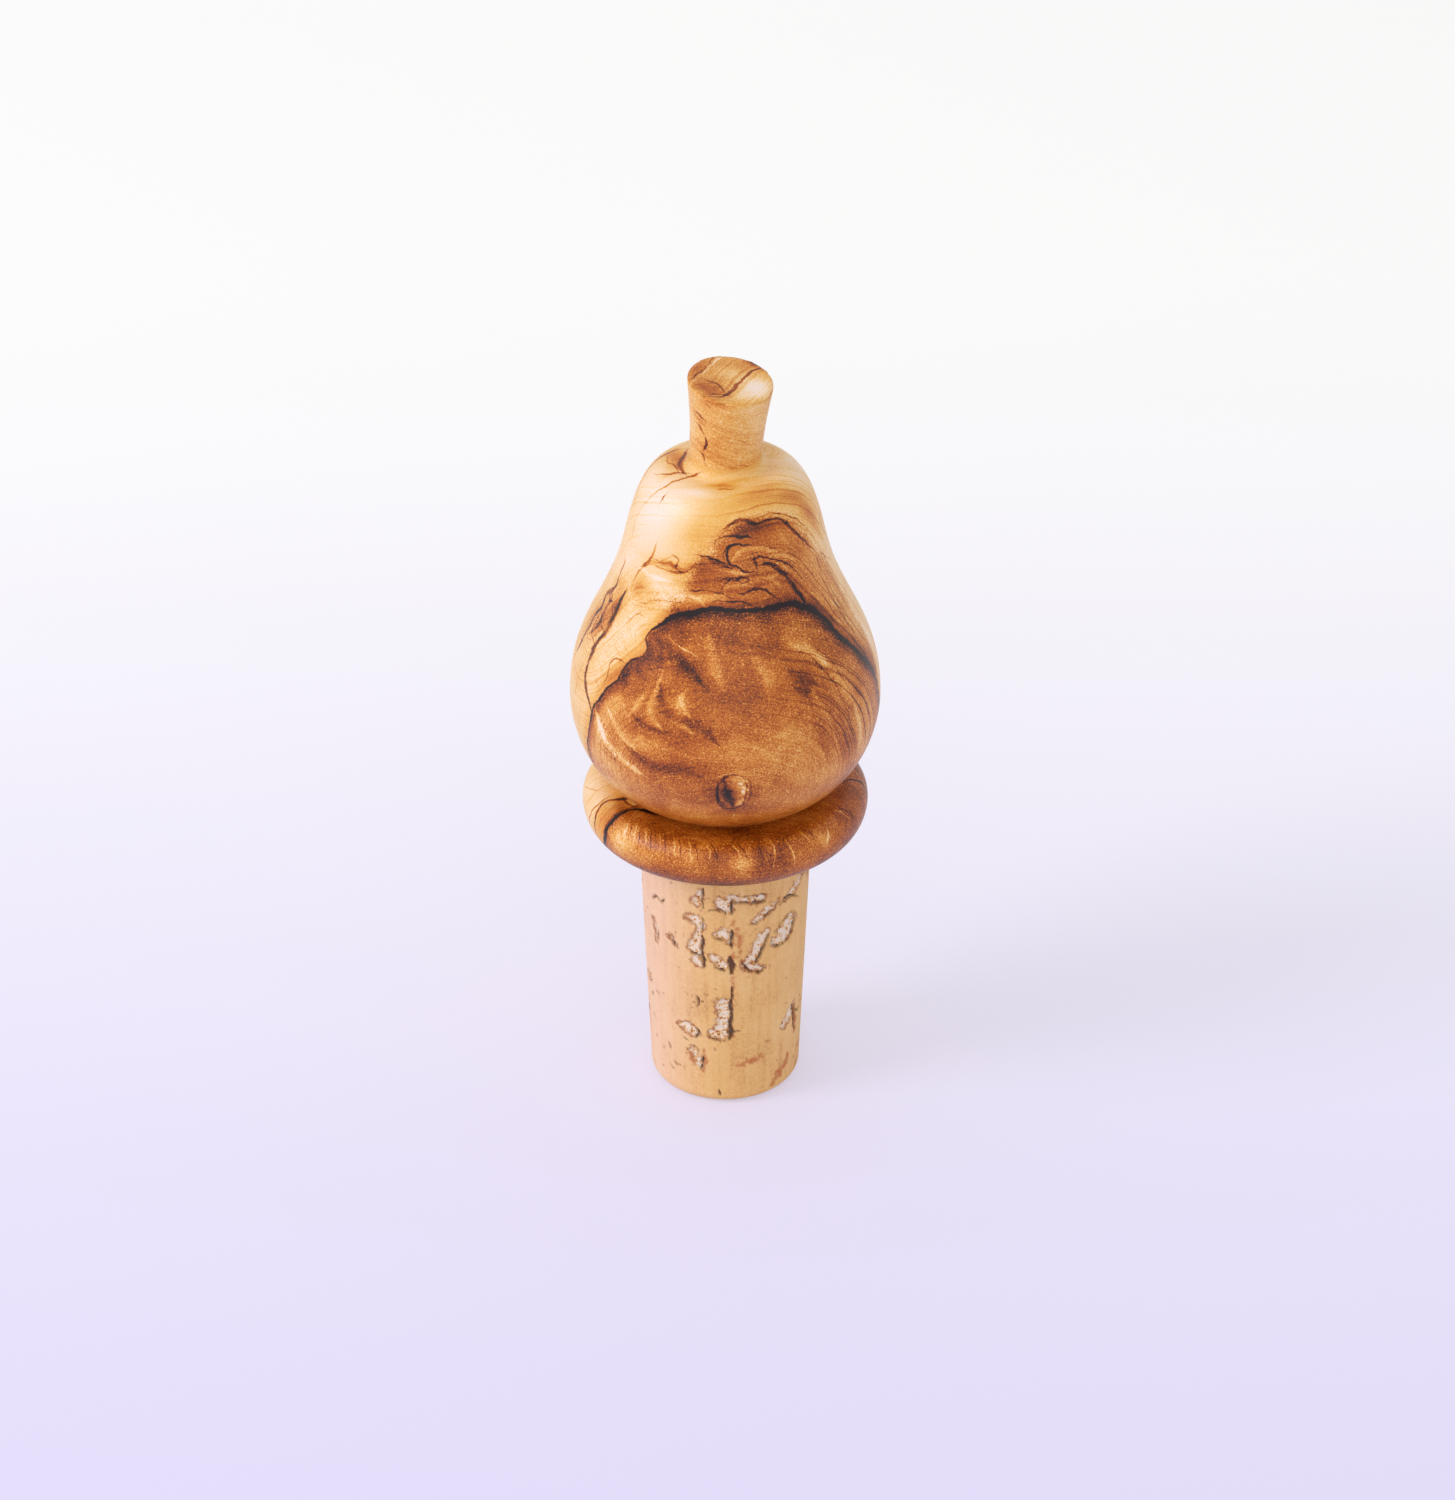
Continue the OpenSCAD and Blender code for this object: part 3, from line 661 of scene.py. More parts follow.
COLLAR_LINES = (
    (1.0, (0.62, 0.6, 0.45, 0.28, 0.24, 0.25, 0.28, 0.28, 0.2), (-44, 11.5), (-47.2, 11.3), (-50.6, 10.7),
     (-54.5, 10.1), (-56.3, 9.3), (-55.6, 8.3), (-55.6, 7.4), (-56, 6.2), (-56.2, 5.2), (-57.2, 4),
     (-58.9, 2.7), (-60, 0)),
    (0.5, (0.12, 0.28, 0.34, 0.28, 0.2, 0.12), (-64.5, 10.6), (-67, 9.8), (-68, 8.7), (-67.8, 7.3),
     (-66.5, 6.2), (-65.5, 5.4), (-65, 3.9)),
    (0.42, (0.06, 0.22, 0.16, 0.08), (-72, 9), (-70, 7.4), (-70.2, 6.1), (-70.8, 4.9), (-73, 3.4)),
    (0.4, (0.04, 0.1, 0.09, 0.05), (-90, 5.6), (-83, 6.8), (-78.5, 7.6), (-76, 8.6)),
    (0.34, (0.04, 0.1, 0.08, 0.05), (-88, 4.6), (-82, 4.8), (-78.5, 5.8), (-77, 7.2)),
    (0.34, (0.1, 0.26, 0.14), (-69.4, 10.5), (-66, 9.9), (-61, 10), (-58, 10.3)),
    (-0.2, (0.1, 0.14, 0.1), (-64.5, 8.9), (-63.5, 7.7), (-62.8, 6.4), (-62.8, 4.6)),
    (0.42, (0.1, 0.24, 0.14), (84, 9.2), (87.5, 7.8), (88, 6.6), (85.5, 5.2)),
    (-0.3, (0.06, 0.14, 0.12), (20.5, 8.6), (20.8, 7), (20, 5.2)),
    (-0.3, (0.06, 0.18, 0.14), (27, 7.6), (28, 6.4), (28.5, 5)),
    (-0.26, (0.06, 0.16, 0.1), (48.5, 7.5), (47.4, 6.4), (45, 5.2)),
    (-0.2, (0.06, 0.12, 0.1), (15.5, 7.2), (16.5, 6.2), (17, 5.2)),
    (0.6, (0.12, 0.16, 0.1), (106, 11.2), (107, 8.6), (108, 5.6), (109, 0)),
)
STALK_LINES = (
    (0.26, (0.06, 0.16, 0.08), (-34, 94), (-30, 93.7), (-26, 93.4)),
    (0.38, (0.05, 0.16, 0.22, 0.1), (-60, 92.3), (-52, 92.1), (-44, 91.8), (-37, 91.5)),
    (0.34, (0.05, 0.12, 0.2, 0.1), (-58, 90.7), (-50, 90.5), (-43, 90.1), (-38, 89.6)),
    (0.46, (0.1, 0.26, 0.2, 0.1), (-36, 89.3), (-34, 88.7), (-35, 88), (-38, 87.4)),
    (0.4, (0.05, 0.2, 0.14), (-46, 87.1), (-40, 86.8), (-36, 86.3)),
    (0.3, (0.05, 0.12, 0.05), (-37, 86.1), (-35, 85.8), (-32, 85.5)),
    (0.5, (0.08, 0.08), (-10.4, 85.7), (-9.6, 85.6)),
    (0.14, (0.05, 0.14, 0.12, 0.05), (6, 89.7), (16, 89.4), (28, 89), (46, 88.4)),
    (0.12, (0.05, 0.12, 0.05), (18, 88.3), (28, 88.1), (40, 87.8)),
    (0.14, (0.05, 0.16, 0.14, 0.05), (10, 86.4), (20, 86.1), (38, 85.7), (56, 85.4)),
)
CUT_LINES = (
    (0.46, (0.14, 0.2, 0.24, 0.24, 0.24, 0.28, 0.26, 0.2, 0.12), (3.9, 3.7), (2.8, 2.9), (2.2, 1.9),
     (1.3, 0.5), (0.7, -0.7), (0.1, -2), (-0.4, -2.9), (-1.2, -3.5), (-2.4, -3.7)),
    (-0.42, (0.08, 0.15, 0.13, 0.1, 0.06), (-1, 4.8), (-1.6, 3.9), (-2.2, 2.8), (-2.6, 1.9), (-3.1, 1),
     (-3.5, 0.3)),
    (0.42, (0.1, 0.14, 0.1, 0.14, 0.16, 0.1), (-1.9, 4.6), (-2.1, 3.9), (-2.65, 2.9), (-3.05, 1.9),
     (-3.55, 1), (-4, 0.2), (-4.6, -0.4)),
    (-0.34, (0.08, 0.1, 0.06), (-4.1, -0.8), (-4.35, -1.3), (-4.4, -1.8)),
    (0.34, (0.08, 0.2, 0.2, 0.16, 0.08), (-3.4, -0.1), (-2.4, -0.7), (-1.5, -1.1), (-1, -1.7),
     (-0.7, -2.3)),
    (0.3, (0.08, 0.16, 0.14), (-2.6, -3.2), (-1.7, -3), (-0.8, -3)),
    (0.2, THIN, (1.5, 4.3), (1.3, 3), (1, 1.6)),
    (0.16, (0.05, 0.08, 0.05), (-1.8, 0.2), (-0.6, 0.8), (0.5, 0.9)),
    (0.5, (0.2, 0.3, 0.16), (1.9, 4.6), (2.9, 4.1), (3.9, 3.4)),
    (0.5, (0.1, 0.22, 0.1), (-2.6, 4.4), (-2, 4.8), (-1.3, 4.95)),
)

COLLAR_STROKES = tuple(
    (darkness, (0.05, 0.17, 0.06), (start + step, 8.6), (start + 3 + step, 7.2), (start + 5 + step, 5.4))
    for start in (-50, -45, -39, -32, -25, -18, -10, 2, 34, 58)
    for step, darkness in ((0, -0.24), (2.6, 0.2))
)
LINES = (("pear", PEAR_LINES), ("crown", CROWN_LINES), ("pear", HEARTWOOD_LINES),
         ("collar", COLLAR_LINES + COLLAR_STROKES), ("stalk", STALK_LINES), ("cut", CUT_LINES))

# Soft patches on each surface: place, half length and half width in millimetres, the turn of the
# length from level in degrees, and how much darker or, below zero, paler the wood is there.
PATCHES = {
    "pear": (
        # sapwood; the cream patch high on the left flank is partly painted highlight
        (-52, 78, 9, 6, 75, -0.14), (-46, 81.5, 4, 3, 20, -0.08), (-8, 81, 7, 4, 15, 0.13),
        (20, 83.2, 4, 1.2, 0, 0.06), (-20, 78.5, 2.5, 2.5, 0, 0.05), (42, 83.8, 3, 0.7, -4, 0.14),
        (56, 82.6, 3, 0.9, -22, 0.24), (66, 80.4, 2.6, 1, -50, 0.22), (72, 77.6, 3, 0.8, -65, 0.14),
        (-2, 84.1, 1.4, 0.4, 0, 0.24), (16, 84.3, 3, 0.4, 0, 0.12), (84, 83, 4, 2.5, 0, -0.12),
        (-76, 83, 4, 2.5, 0, -0.1), (-26, 83.8, 2, 0.6, 10, -0.12), (-46, 71.2, 6, 1.2, 5, 0.12),
        (-52, 72.6, 1.6, 1.2, 60, 0.16), (-34, 75.9, 5, 1.0, 0, 0.1), (-57, 64, 7, 2.2, 66, -0.03),
        (-48, 67, 3, 1.2, 30, -0.05), (-70.5, 66.2, 3.8, 1.1, 63, 0.36), (-66.8, 68.3, 1, 0.7, 70, 0.2),
        (-80, 66, 6, 1.4, 66, 0.2), (-72, 59, 3, 1.5, 75, 0.04), (-66, 50, 4, 1.2, 60, 0.1),
        (-20, 74.8, 3, 1.4, 15, 0.12), (-36, 70.8, 4, 1.1, 15, 0.1), (-16.5, 73, 3.2, 0.6, 0, -0.14),
        (-7.5, 73, 2.4, 0.5, 0, -0.12), (-26, 71.8, 4, 0.7, 8, -0.2), (-51.5, 61.9, 1.6, 0.7, 45, 0.2),
        (150, 66, 9, 2.4, 80, 0.12), (-158, 58, 8, 2, 95, 0.1), (-115, 72, 7, 3, 75, 0.05),
        # swirl
        (8, 75.4, 5, 1.2, 0, 0.03), (30, 73, 4, 1.2, -10, 0.02), (56, 74, 5, 1.4, -55, 0.02),
        (-10, 76.2, 2.4, 1, 0, 0.07), (-32, 70.6, 5, 0.9, 6, -0.08), (17.5, 81.2, 1.6, 0.5, 0, 0.1),
        (46, 72.6, 4, 1.3, -42, 0.02), (62, 71, 6, 3, -60, -0.1), (10, 78, 4, 1, 0, -0.06),
        (14, 80.8, 4, 0.8, 0, 0.1), (36, 80.6, 5, 0.7, -5, 0.08), (12, 73.4, 10, 1.2, 0, 0.02),
        (52, 70, 4, 1.2, -40, 0.04), (-13.5, 75.7, 3, 1, 0, -0.1), (-3, 76.4, 2.4, 0.6, 0, -0.06),
        (77, 65, 7, 1.8, -66, -0.2),
        # heartwood under the line, and the upright golden patch
        (-21.5, 68.7, 1.7, 1, 21, 0.08), (21.5, 70.2, 5.1, 0.9, 170, 0.08),
        (-10.5, 70.1, 1.4, 0.8, 6, 0.06), (-16, 65.2, 2.4, 1.2, 150, 0.11), (-14, 64, 1.7, 1, 138, 0.08),
        (12, 67.6, 5, 1.2, 0, 0.04),
        # heartwood, upper left
        (-17.5, 61.6, 0.8, 0.5, 114, -0.22), (-16.5, 64, 0.8, 0.8, 34, -0.07),
        (-35, 60.4, 1.7, 0.5, 63, -0.14), (-43, 62.1, 1.5, 0.8, 130, 0.1),
        (-18.5, 60.2, 1.1, 0.5, 124, -0.1), (-31, 65, 2, 1.2, 60, 0.06), (-38, 63.4, 1, 0.5, 150, 0.12),
        (-36, 57, 1.4, 0.5, 60, 0.1), (-43, 58.6, 2, 0.5, 70, 0.08),
        # heartwood, the golden middle and the redder centre
        (15.5, 57, 6, 3.4, 171, -0.11), (5.5, 55.4, 2.2, 1.2, 171, -0.05),
        (26.5, 56.2, 3.7, 2.2, 134, -0.04), (7.5, 64.5, 1.8, 1.6, 143, 0.07),
        (10.5, 61.8, 1.4, 1.4, 158, 0.06), (-3.5, 62.3, 1.2, 1.2, 145, 0.05),
        (17.5, 64.4, 1.6, 0.6, 100, -0.1), (14, 66.3, 0.6, 0.5, 154, -0.12),
        (34.5, 63.2, 1.4, 1.2, 118, 0.12), (32.5, 61.9, 0.9, 0.8, 124, 0.1),
        (27.5, 59.6, 1.6, 1.6, 108, 0.06),
        # heartwood, bright arcs at the right
        (58.5, 54.4, 2.7, 0.8, 104, -0.16), (40.5, 57.6, 2.5, 0.5, 112, -0.1),
        (45.5, 52.5, 2.1, 0.8, 109, -0.1), (38.5, 66, 2.4, 0.5, 143, -0.12), (68, 55, 5, 1.6, 110, -0.12),
        # heartwood, lower left and low down; its paler patches are partly the wood's own figure, partly
        # painted light from the left and painted reflected light along the bottom
        (-59, 50.5, 5, 1.8, 62, -0.26), (-55, 46.5, 4, 1.6, 30, -0.2), (-48, 45.5, 4, 1.2, 20, -0.1),
        (-30, 65.5, 3, 1.6, 10, 0.07), (-12, 58, 4, 2.5, 10, 0.06), (-24, 49, 4, 1.4, 0, 0.05),
        (26, 51, 5, 3, 0, -0.1), (-50, 57.5, 4, 2, 60, -0.1), (66, 50, 5, 2.4, 80, -0.1),
        (-32.5, 53.8, 1.6, 0.7, 162, 0.13), (-22.5, 53.2, 1.8, 0.8, 10, 0.08),
        (-14, 53, 1.4, 0.7, 166, 0.06), (-29, 55.8, 3, 1.2, 8, -0.1), (-40, 56.2, 1.6, 1.2, 130, -0.09),
        (-49, 57.4, 4, 1.6, 60, -0.16), (-17, 47.6, 5, 1.2, 171, -0.05), (-37, 49.5, 3, 1.6, 161, -0.1),
        (-40, 52.8, 2.4, 1, 150, -0.08), (-47.5, 50.7, 1.4, 1.2, 133, -0.14),
        (-52, 54.5, 2.1, 1.2, 130, -0.18), (-52, 49, 4, 3, 60, -0.12), (27, 47.5, 5.2, 1.6, 161, -0.09),
        (3, 45.6, 9, 1.2, 0, -0.05), (41.5, 50.1, 3.2, 1.4, 166, -0.08), (-45, 52.5, 0.35, 0.3, 0, -0.3),
        (8, 52.5, 3.4, 1.6, 0, -0.08), (1, 69.4, 4, 1.2, 0, 0.12),
        # the knot: brown oval, its right side pale with bright specks that are painted glints on its glossy
        # surface, redder wood round it
        (0.8, 50.4, 1.9, 0.9, 92, 0.26), (-2, 50.6, 1.6, 0.6, 92, 0.05), (10.5, 51, 2, 0.9, 95, 0.1),
        (1, 47.2, 2.4, 0.8, 10, 0.12), (-5.8, 50.6, 1.6, 0.8, 92, 0.08), (3, 54.2, 2.4, 0.6, 0, 0.07),
        (6.2, 50.6, 1.6, 0.6, 95, 0.02), (5.7, 51.9, 0.3, 0.13, 20, -0.7),
        (6.5, 51.3, 0.16, 0.13, 0, -0.9), (6.9, 50.5, 0.3, 0.13, 100, -0.9),
        (6.2, 49.9, 0.14, 0.14, 0, -0.4), (6.2, 49.1, 0.34, 0.14, 60, -0.9),
        (4.9, 48.5, 0.3, 0.12, 30, -0.7), (5.1, 52.6, 0.36, 0.1, 10, -0.36),
        (7.4, 52.1, 0.16, 0.12, 0, -0.45), (7.9, 50.9, 0.14, 0.12, 0, -0.3),
        (1.2, 50.2, 0.4, 0.12, 80, 0.2), (2.4, 50.6, 0.5, 0.1, 100, 0.16),
        (0.2, 50.9, 0.4, 0.1, 70, -0.12),
    ),
    "collar": (
        (-48, 5.8, 2.6, 2.1, 0, -0.36), (-60.5, 6.6, 1.5, 3, 0, 0.3), (-36, 5.6, 3, 1.8, -30, -0.1),
        (-42, 8.6, 2, 1, 0, 0.08), (-22, 10.2, 8, 1.2, 0, 0.02), (-75, 9.8, 3, 1.2, 0, 0.12),
        (-82, 7.1, 3, 2, 0, -0.08), (10, 10.2, 9, 1.0, 0, 0.03), (14.6, 7, 1.0, 2.4, 0, 0.14),
        (6.6, 5.5, 1.3, 0.7, 0, -0.22), (0, 7.4, 1.4, 1, 0, 0.05), (24.5, 6.6, 0.8, 2, 0, 0.12),
        (33, 6.2, 2.2, 1.4, 0, -0.12), (44, 5.9, 1, 1, 60, -0.2), (38, 9, 2.2, 0.8, 0, 0.1),
        (52, 9, 2.4, 1, 0, -0.06), (-61, 9.2, 2.2, 0.9, -20, 0.2), (64, 6, 5, 3, 0, 0.08),
        (80, 7.2, 4, 2, 0, 0.02), (-28, 3.4, 5, 1, 20, 0.05), (-12, 6.2, 2, 0.8, 30, -0.1),
        (-22, 6.8, 2, 0.6, 30, -0.1), (-29, 7.8, 1.6, 0.5, 35, 0.08), (-7, 4.1, 2, 0.8, 0, -0.06),
    ),
    "stalk": (
        (-68, 90, 4.5, 2.0, 90, -0.16), (46, 90, 5, 2, 90, -0.12), (-22, 85.8, 3, 0.8, 0, -0.1),
        (14, 85.7, 1.4, 0.5, 0, 0.1), (-16, 94.4, 1.7, 0.5, 0, 0.14), (2, 91, 3, 3, 0, -0.04),
        (-46, 88.3, 1, 0.5, -30, 0.12), (-48, 91.2, 1.2, 0.3, -20, 0.14), (24, 93.6, 2.6, 0.7, 0, -0.1),
    ),
    "cut": (
        (2.9, -1, 2.1, 1.8, 60, -0.42), (1.3, -3, 1.2, 0.9, 30, -0.12), (4.2, 1.6, 1.2, 0.7, 80, -0.02),
        (-2.6, -2.2, 1.9, 1.1, -30, 0.26), (-3.8, 2, 2.2, 0.8, 60, 0.2), (-0.2, 1.6, 1.6, 1.2, 0, -0.1),
        (2.6, 3.9, 1.1, 0.5, -32, 0.3), (1.4, 3.2, 0.8, 0.8, 0, 0.06),
    ),
    "crown": (
        (-5.6, 0.8, 2.4, 1.1, 95, 0.24), (-6.6, 2.6, 2.4, 1.2, 130, 0.12), (-8.6, 1.4, 2, 0.8, 140, 0.04),
        (-6.6, -2.4, 1.2, 0.4, 15, 0.1),
    ),
}

# The plain tone of each part, from 0 for cream to 1 for black; the swirl's is added to the sapwood's.
TONES = {"heart": 0.60, "sap": 0.20, "collar": 0.62, "collar_sap": 0.18, "stalk": 0.38, "cut": 0.35,
         "crown": 0.22, "swirl": 0.35}
HEART_ON_COLLAR = (-58, 108)            # the azimuths between which the collar is heartwood

# Patches, in the same order, where the growth lines are stronger or, below zero, weaker.
RINGING = {
    "pear": (
        (-45, 78, 12, 8, 70, -0.13), (-5, 80, 9, 5, 0, -0.12), (58, 57, 10, 4.5, -65, 0.7),
        (73, 66, 9, 3, -62, 0.6), (22, 77, 9, 4, 0, 0.35), (-57, 64, 7, 3, 70, 0.3),
        (-56, 50, 6, 3, 60, 0.3), (-62, 81, 5, 2, 30, 0.25), (45, 83, 8, 2, -6, 0.3),
        (180, 62, 16, 16, 0, 0.5), (-120, 62, 12, 16, 0, 0.4), (120, 62, 12, 16, 0, 0.45),
        (20, 52, 9, 2, 0, 0.1),
    ),
    "collar": (
        (-66, 6.6, 4, 4, 0, 0.3), (180, 6.6, 9, 6, 0, 0.4), (120, 6.6, 9, 6, 0, 0.4),
        (-120, 6.6, 9, 6, 0, 0.4),
    ),
    "cut": ((0, 1, 4, 4, 0, 0.3),),
    "stalk": ((180, 90, 6, 6, 0, 0.2),),
}

# Patches where the wood is more or, below zero, less uneven.
MOTTLING = {
    "collar": ((0, 6.6, 14, 4, 0, 0.1),),
    "pear": (
        (-56, 65, 6, 2.4, 66, 0.25), (-76, 64, 8, 3, 66, 0.3), (-50, 78, 11, 6, 80, -0.22),
        (-8, 80, 8, 5, 0, -0.1), (25, 76, 10, 5, -5, 0.65), (70, 66, 10, 4, -62, 0.5),
        (-40, 71.5, 7, 1.6, 8, 0.4), (-80, 66, 9, 3, 75, 0.4), (180, 62, 16, 18, 0, 0.5),
        (130, 62, 12, 18, 0, 0.3), (-130, 62, 12, 18, 0, 0.3),
    ),
}

REGION_OF = {"pear": "pear", "crown": "pear", "collar": "collar", "stalk": "stalk", "cut": "cut"}
LINE_SETS = 9                           # how many sets of drawn lines the mesh carries side by side
LINE_REACH = 1.3 * MM                   # how far from a drawn line the mesh knows of it


def spline(spots, spacing=0.5):
    """A smooth path through given spots, in even steps between each two of them."""
    spots = np.array(spots, float)
    padded = np.vstack([2 * spots[0] - spots[1], spots, 2 * spots[-1] - spots[-2]])
    path = [spots[:1]]
    for a, b, c, d in zip(padded, padded[1:], padded[2:], padded[3:]):
        count = max(2, int(np.hypot(*(c - b)) / spacing))
        t = (np.arange(count) + 1)[:, None] / count
        path.append(0.5 * (2 * b + (c - a) * t + (2 * a - 5 * b + 4 * c - d) * t ** 2
                           + (3 * b - a - 3 * c + d) * t ** 3))
    return np.vstack(path)


def near_path(path, points, normals, reach):
    """Each point's distance from a path, above zero to its left as seen from outside, how far along
    the path it lies, and which points are within reach. Points beyond reach get the reach."""
    distance = np.full(len(points), reach)
    along = np.zeros(len(points))
    inside = np.all((points > path.min(0) - reach) & (points < path.max(0) + reach), axis=1)
    near, up = points[inside], normals[inside]
    gap = np.full(len(near), reach)
    side = np.ones(len(near))
    share = np.zeros(len(near))
    for index, (a, b) in enumerate(zip(path, path[1:])):
        step = b - a
        t = np.clip((near - a) @ step / (step @ step), 0, 1)
        off = near - a - t[:, None] * step
        here = np.linalg.norm(off, axis=1)
        closer = here < gap
        gap[closer] = here[closer]
        side[closer] = np.where(np.einsum("ij,ij->i", off, np.cross(up, step)) < 0, -1, 1)[closer]
        share[closer] = ((index + t) / (len(path) - 1))[closer]
    distance[inside] = gap * side
    along[inside] = share
    return distance, along, np.abs(distance) < reach * 0.999


def width_along(along, widths):
    """Half widths at places along a line, from those given in even steps from end to end."""
    return np.interp(along, np.linspace(0, 1, len(widths)), widths)


def inside_outline(across, up, outline):
    """Whether each place lies inside a closed outline of the same two coordinates."""
    inside = np.zeros(len(across), bool)
    for (x0, y0), (x1, y1) in zip(outline, (*outline[1:], outline[0])):
        crosses = (y0 > up) != (y1 > up)
        level = x0 + (x1 - x0) * (up - y0) / (y1 - y0 if y1 != y0 else 1)
        inside ^= crosses & (across < level)
    return inside


def store(mesh, name, values):
    """Keeps a number or a vector for every point of a mesh, for its material to read."""
    values = np.asarray(values, float)
    kind, field = ("FLOAT", "value") if values.ndim == 1 else ("FLOAT_VECTOR", "vector")
    attribute = mesh.attributes.new(name, kind, "POINT")
    attribute.data.foreach_set(field, values.ravel())


def patch(surface, first, second, half_length, half_width, turn, points):
    """How strongly a soft patch covers each point, from 0 to 1. Its place is the surface's own two
    coordinates, and its length is turned from the first towards the second."""
    here, right, up = surface([(first, second), (first + 0.2, second), (first, second + 0.2)])
    right, up = [(v - here) / np.linalg.norm(v - here) for v in (right, up)]
    out = np.cross(right, up)
    cos, sin = math.cos(math.radians(turn)), math.sin(math.radians(turn))
    off = (points - here) / MM
    lengthwise = off @ (cos * right + sin * up) / half_length
    crosswise = off @ (cos * up - sin * right) / half_width
    inward = off @ out / 9
    return np.exp(-lengthwise ** 2 - crosswise ** 2 - inward ** 2)


def patched(form, regions, base, patches, points):
    """A base value with its soft patches added, each on its own surface only."""
    value = np.array(base, float)
    for kind, drawn in patches.items():
        on = regions[REGION_OF[kind]]
        for *shape, amount in drawn:
            value[on] += amount * patch(form.surface(kind), *shape, points[on])
    return value


def draw_lines(form, regions, points, normals):
    """Sorts the drawn lines into sets whose lines keep clear of each other, so that each point
    holds one line of each set: its distance, half width and darkness."""
    sets = [np.tile((LINE_REACH / MM, 0.0, 0.0), (len(points), 1)) for _ in range(LINE_SETS)]
    taken = [np.zeros(len(points), bool) for _ in sets]
    every_line = [(kind, line) for kind, lines in LINES for line in lines]
    for kind, (darkness, widths, *spots) in every_line:
        path = form.surface(kind)(spline(spots))
        distance, along, near = near_path(path, points, normals, LINE_REACH)
        near &= regions[REGION_OF[kind]]
        index = next(i for i, full in enumerate(taken) if not (full & near).any())
        half = width_along(along, widths) * (1 - smooth_step(0.75, 0.95, np.abs(distance) / LINE_REACH))
        drawn = np.column_stack([distance / MM, half, np.full(len(points), darkness)])
        sets[index][near] = drawn[near]
        taken[index] |= near
    return sets


def paint_handle(form, body, upright, regions):
    """Works out the wood's figure at every point of the handle and keeps it on the mesh."""
    mesh = body.data
    points, normals = points_of(mesh), points_of(mesh, "normal")
    azimuth, height = azimuth_of(upright), upright[:, 2] / MM
    pear, collar, stalk, cut = (regions[name] for name in ("pear", "collar", "stalk", "cut"))
    base, crown = form.base / MM, form.crown_z / MM

    def away(path, reach=40):
        """How far each point is from a path, in millimetres, up to a reach."""
        return np.abs(near_path(path, points, normals, reach * MM)[0]) / MM

    below = ((-52, 40), (112, 40))
    in_heart = pear & inside_outline(azimuth, height, (*HEART_LINE, *below))
    in_heart |= collar & (azimuth > HEART_ON_COLLAR[0]) & (azimuth < HEART_ON_COLLAR[1])
    from_heart, along_heart = near_path(form.on_pear(spline(HEART_LINE)), points, normals, 40 * MM)[:2]
    in_swirl = pear & inside_outline(azimuth, height, SWIRL)
    from_swirl = np.minimum(away(form.on_pear(spline((*SWIRL, SWIRL[0]))), 9), 8)

    parts = {"cut": cut, "stalk": stalk, "collar": collar & in_heart, "collar_sap": collar,
             "heart": in_heart}
    tone = np.select(list(parts.values()), [TONES[name] for name in parts], TONES["sap"])
    near_stalk = smooth_step(crown - 0.5, crown + 2.2, height) * pear
    # painted shade: the collar darkens towards its bottom edge, where it lies in shade
    painted_shade_under_collar = (1 - smooth_step(base + 0.7, base + 2.7, height)) * collar
    tone += near_stalk * (TONES["stalk"] - TONES["crown"]) + 0.12 * painted_shade_under_collar
    tone = patched(form, regions, tone, PATCHES, points)

    # the number that grows across the grain: how far it is to a spine, a drawn line or the pith,
    # which runs through the pear's back on a slant; on the stalk it grows upwards
    behind = smooth_step(85, 140, np.abs(azimuth))
    from_pith = np.hypot(upright[:, 0] / MM - 0.2 * (height - 60), upright[:, 1] / MM + 8)
    ring = np.where(collar, away(form.on_collar(spline(COLLAR_LINES[0][2:]))),
                    away(form.on_pear(spline(SPINE, 3))))
    ring = np.where(in_heart, away(form.on_pear(spline(HEART_SPINE, 3))), ring + behind * (from_pith - ring))
    ring = np.where(stalk, 0.95 * height + 0.3 * upright[:, 0] / MM, ring)
    ring = np.where(cut, away(form.on_cut(spline(CUT_LINES[0][2:])), 16), ring)
    ringing = patched(form, regions, np.full(len(points), 0.14), RINGING, points)
    mottle = np.select([stalk | cut, in_heart], [0.7, 1.0], 0.35)
    mottle = patched(form, regions, mottle, MOTTLING, points)

    store(mesh, "tone", tone)
    store(mesh, "grain", np.column_stack([ring, ringing, mottle]))
    store(mesh, "swirl", np.where(in_swirl, from_swirl, -from_swirl))
    half = width_along(along_heart, HEART_WIDTHS) * pear
    store(mesh, "heart_line", np.column_stack([from_heart / MM, half, np.zeros(len(points))]))
    for index, drawn in enumerate(draw_lines(form, regions, points, normals)):
        store(mesh, f"lines_{index}", drawn)


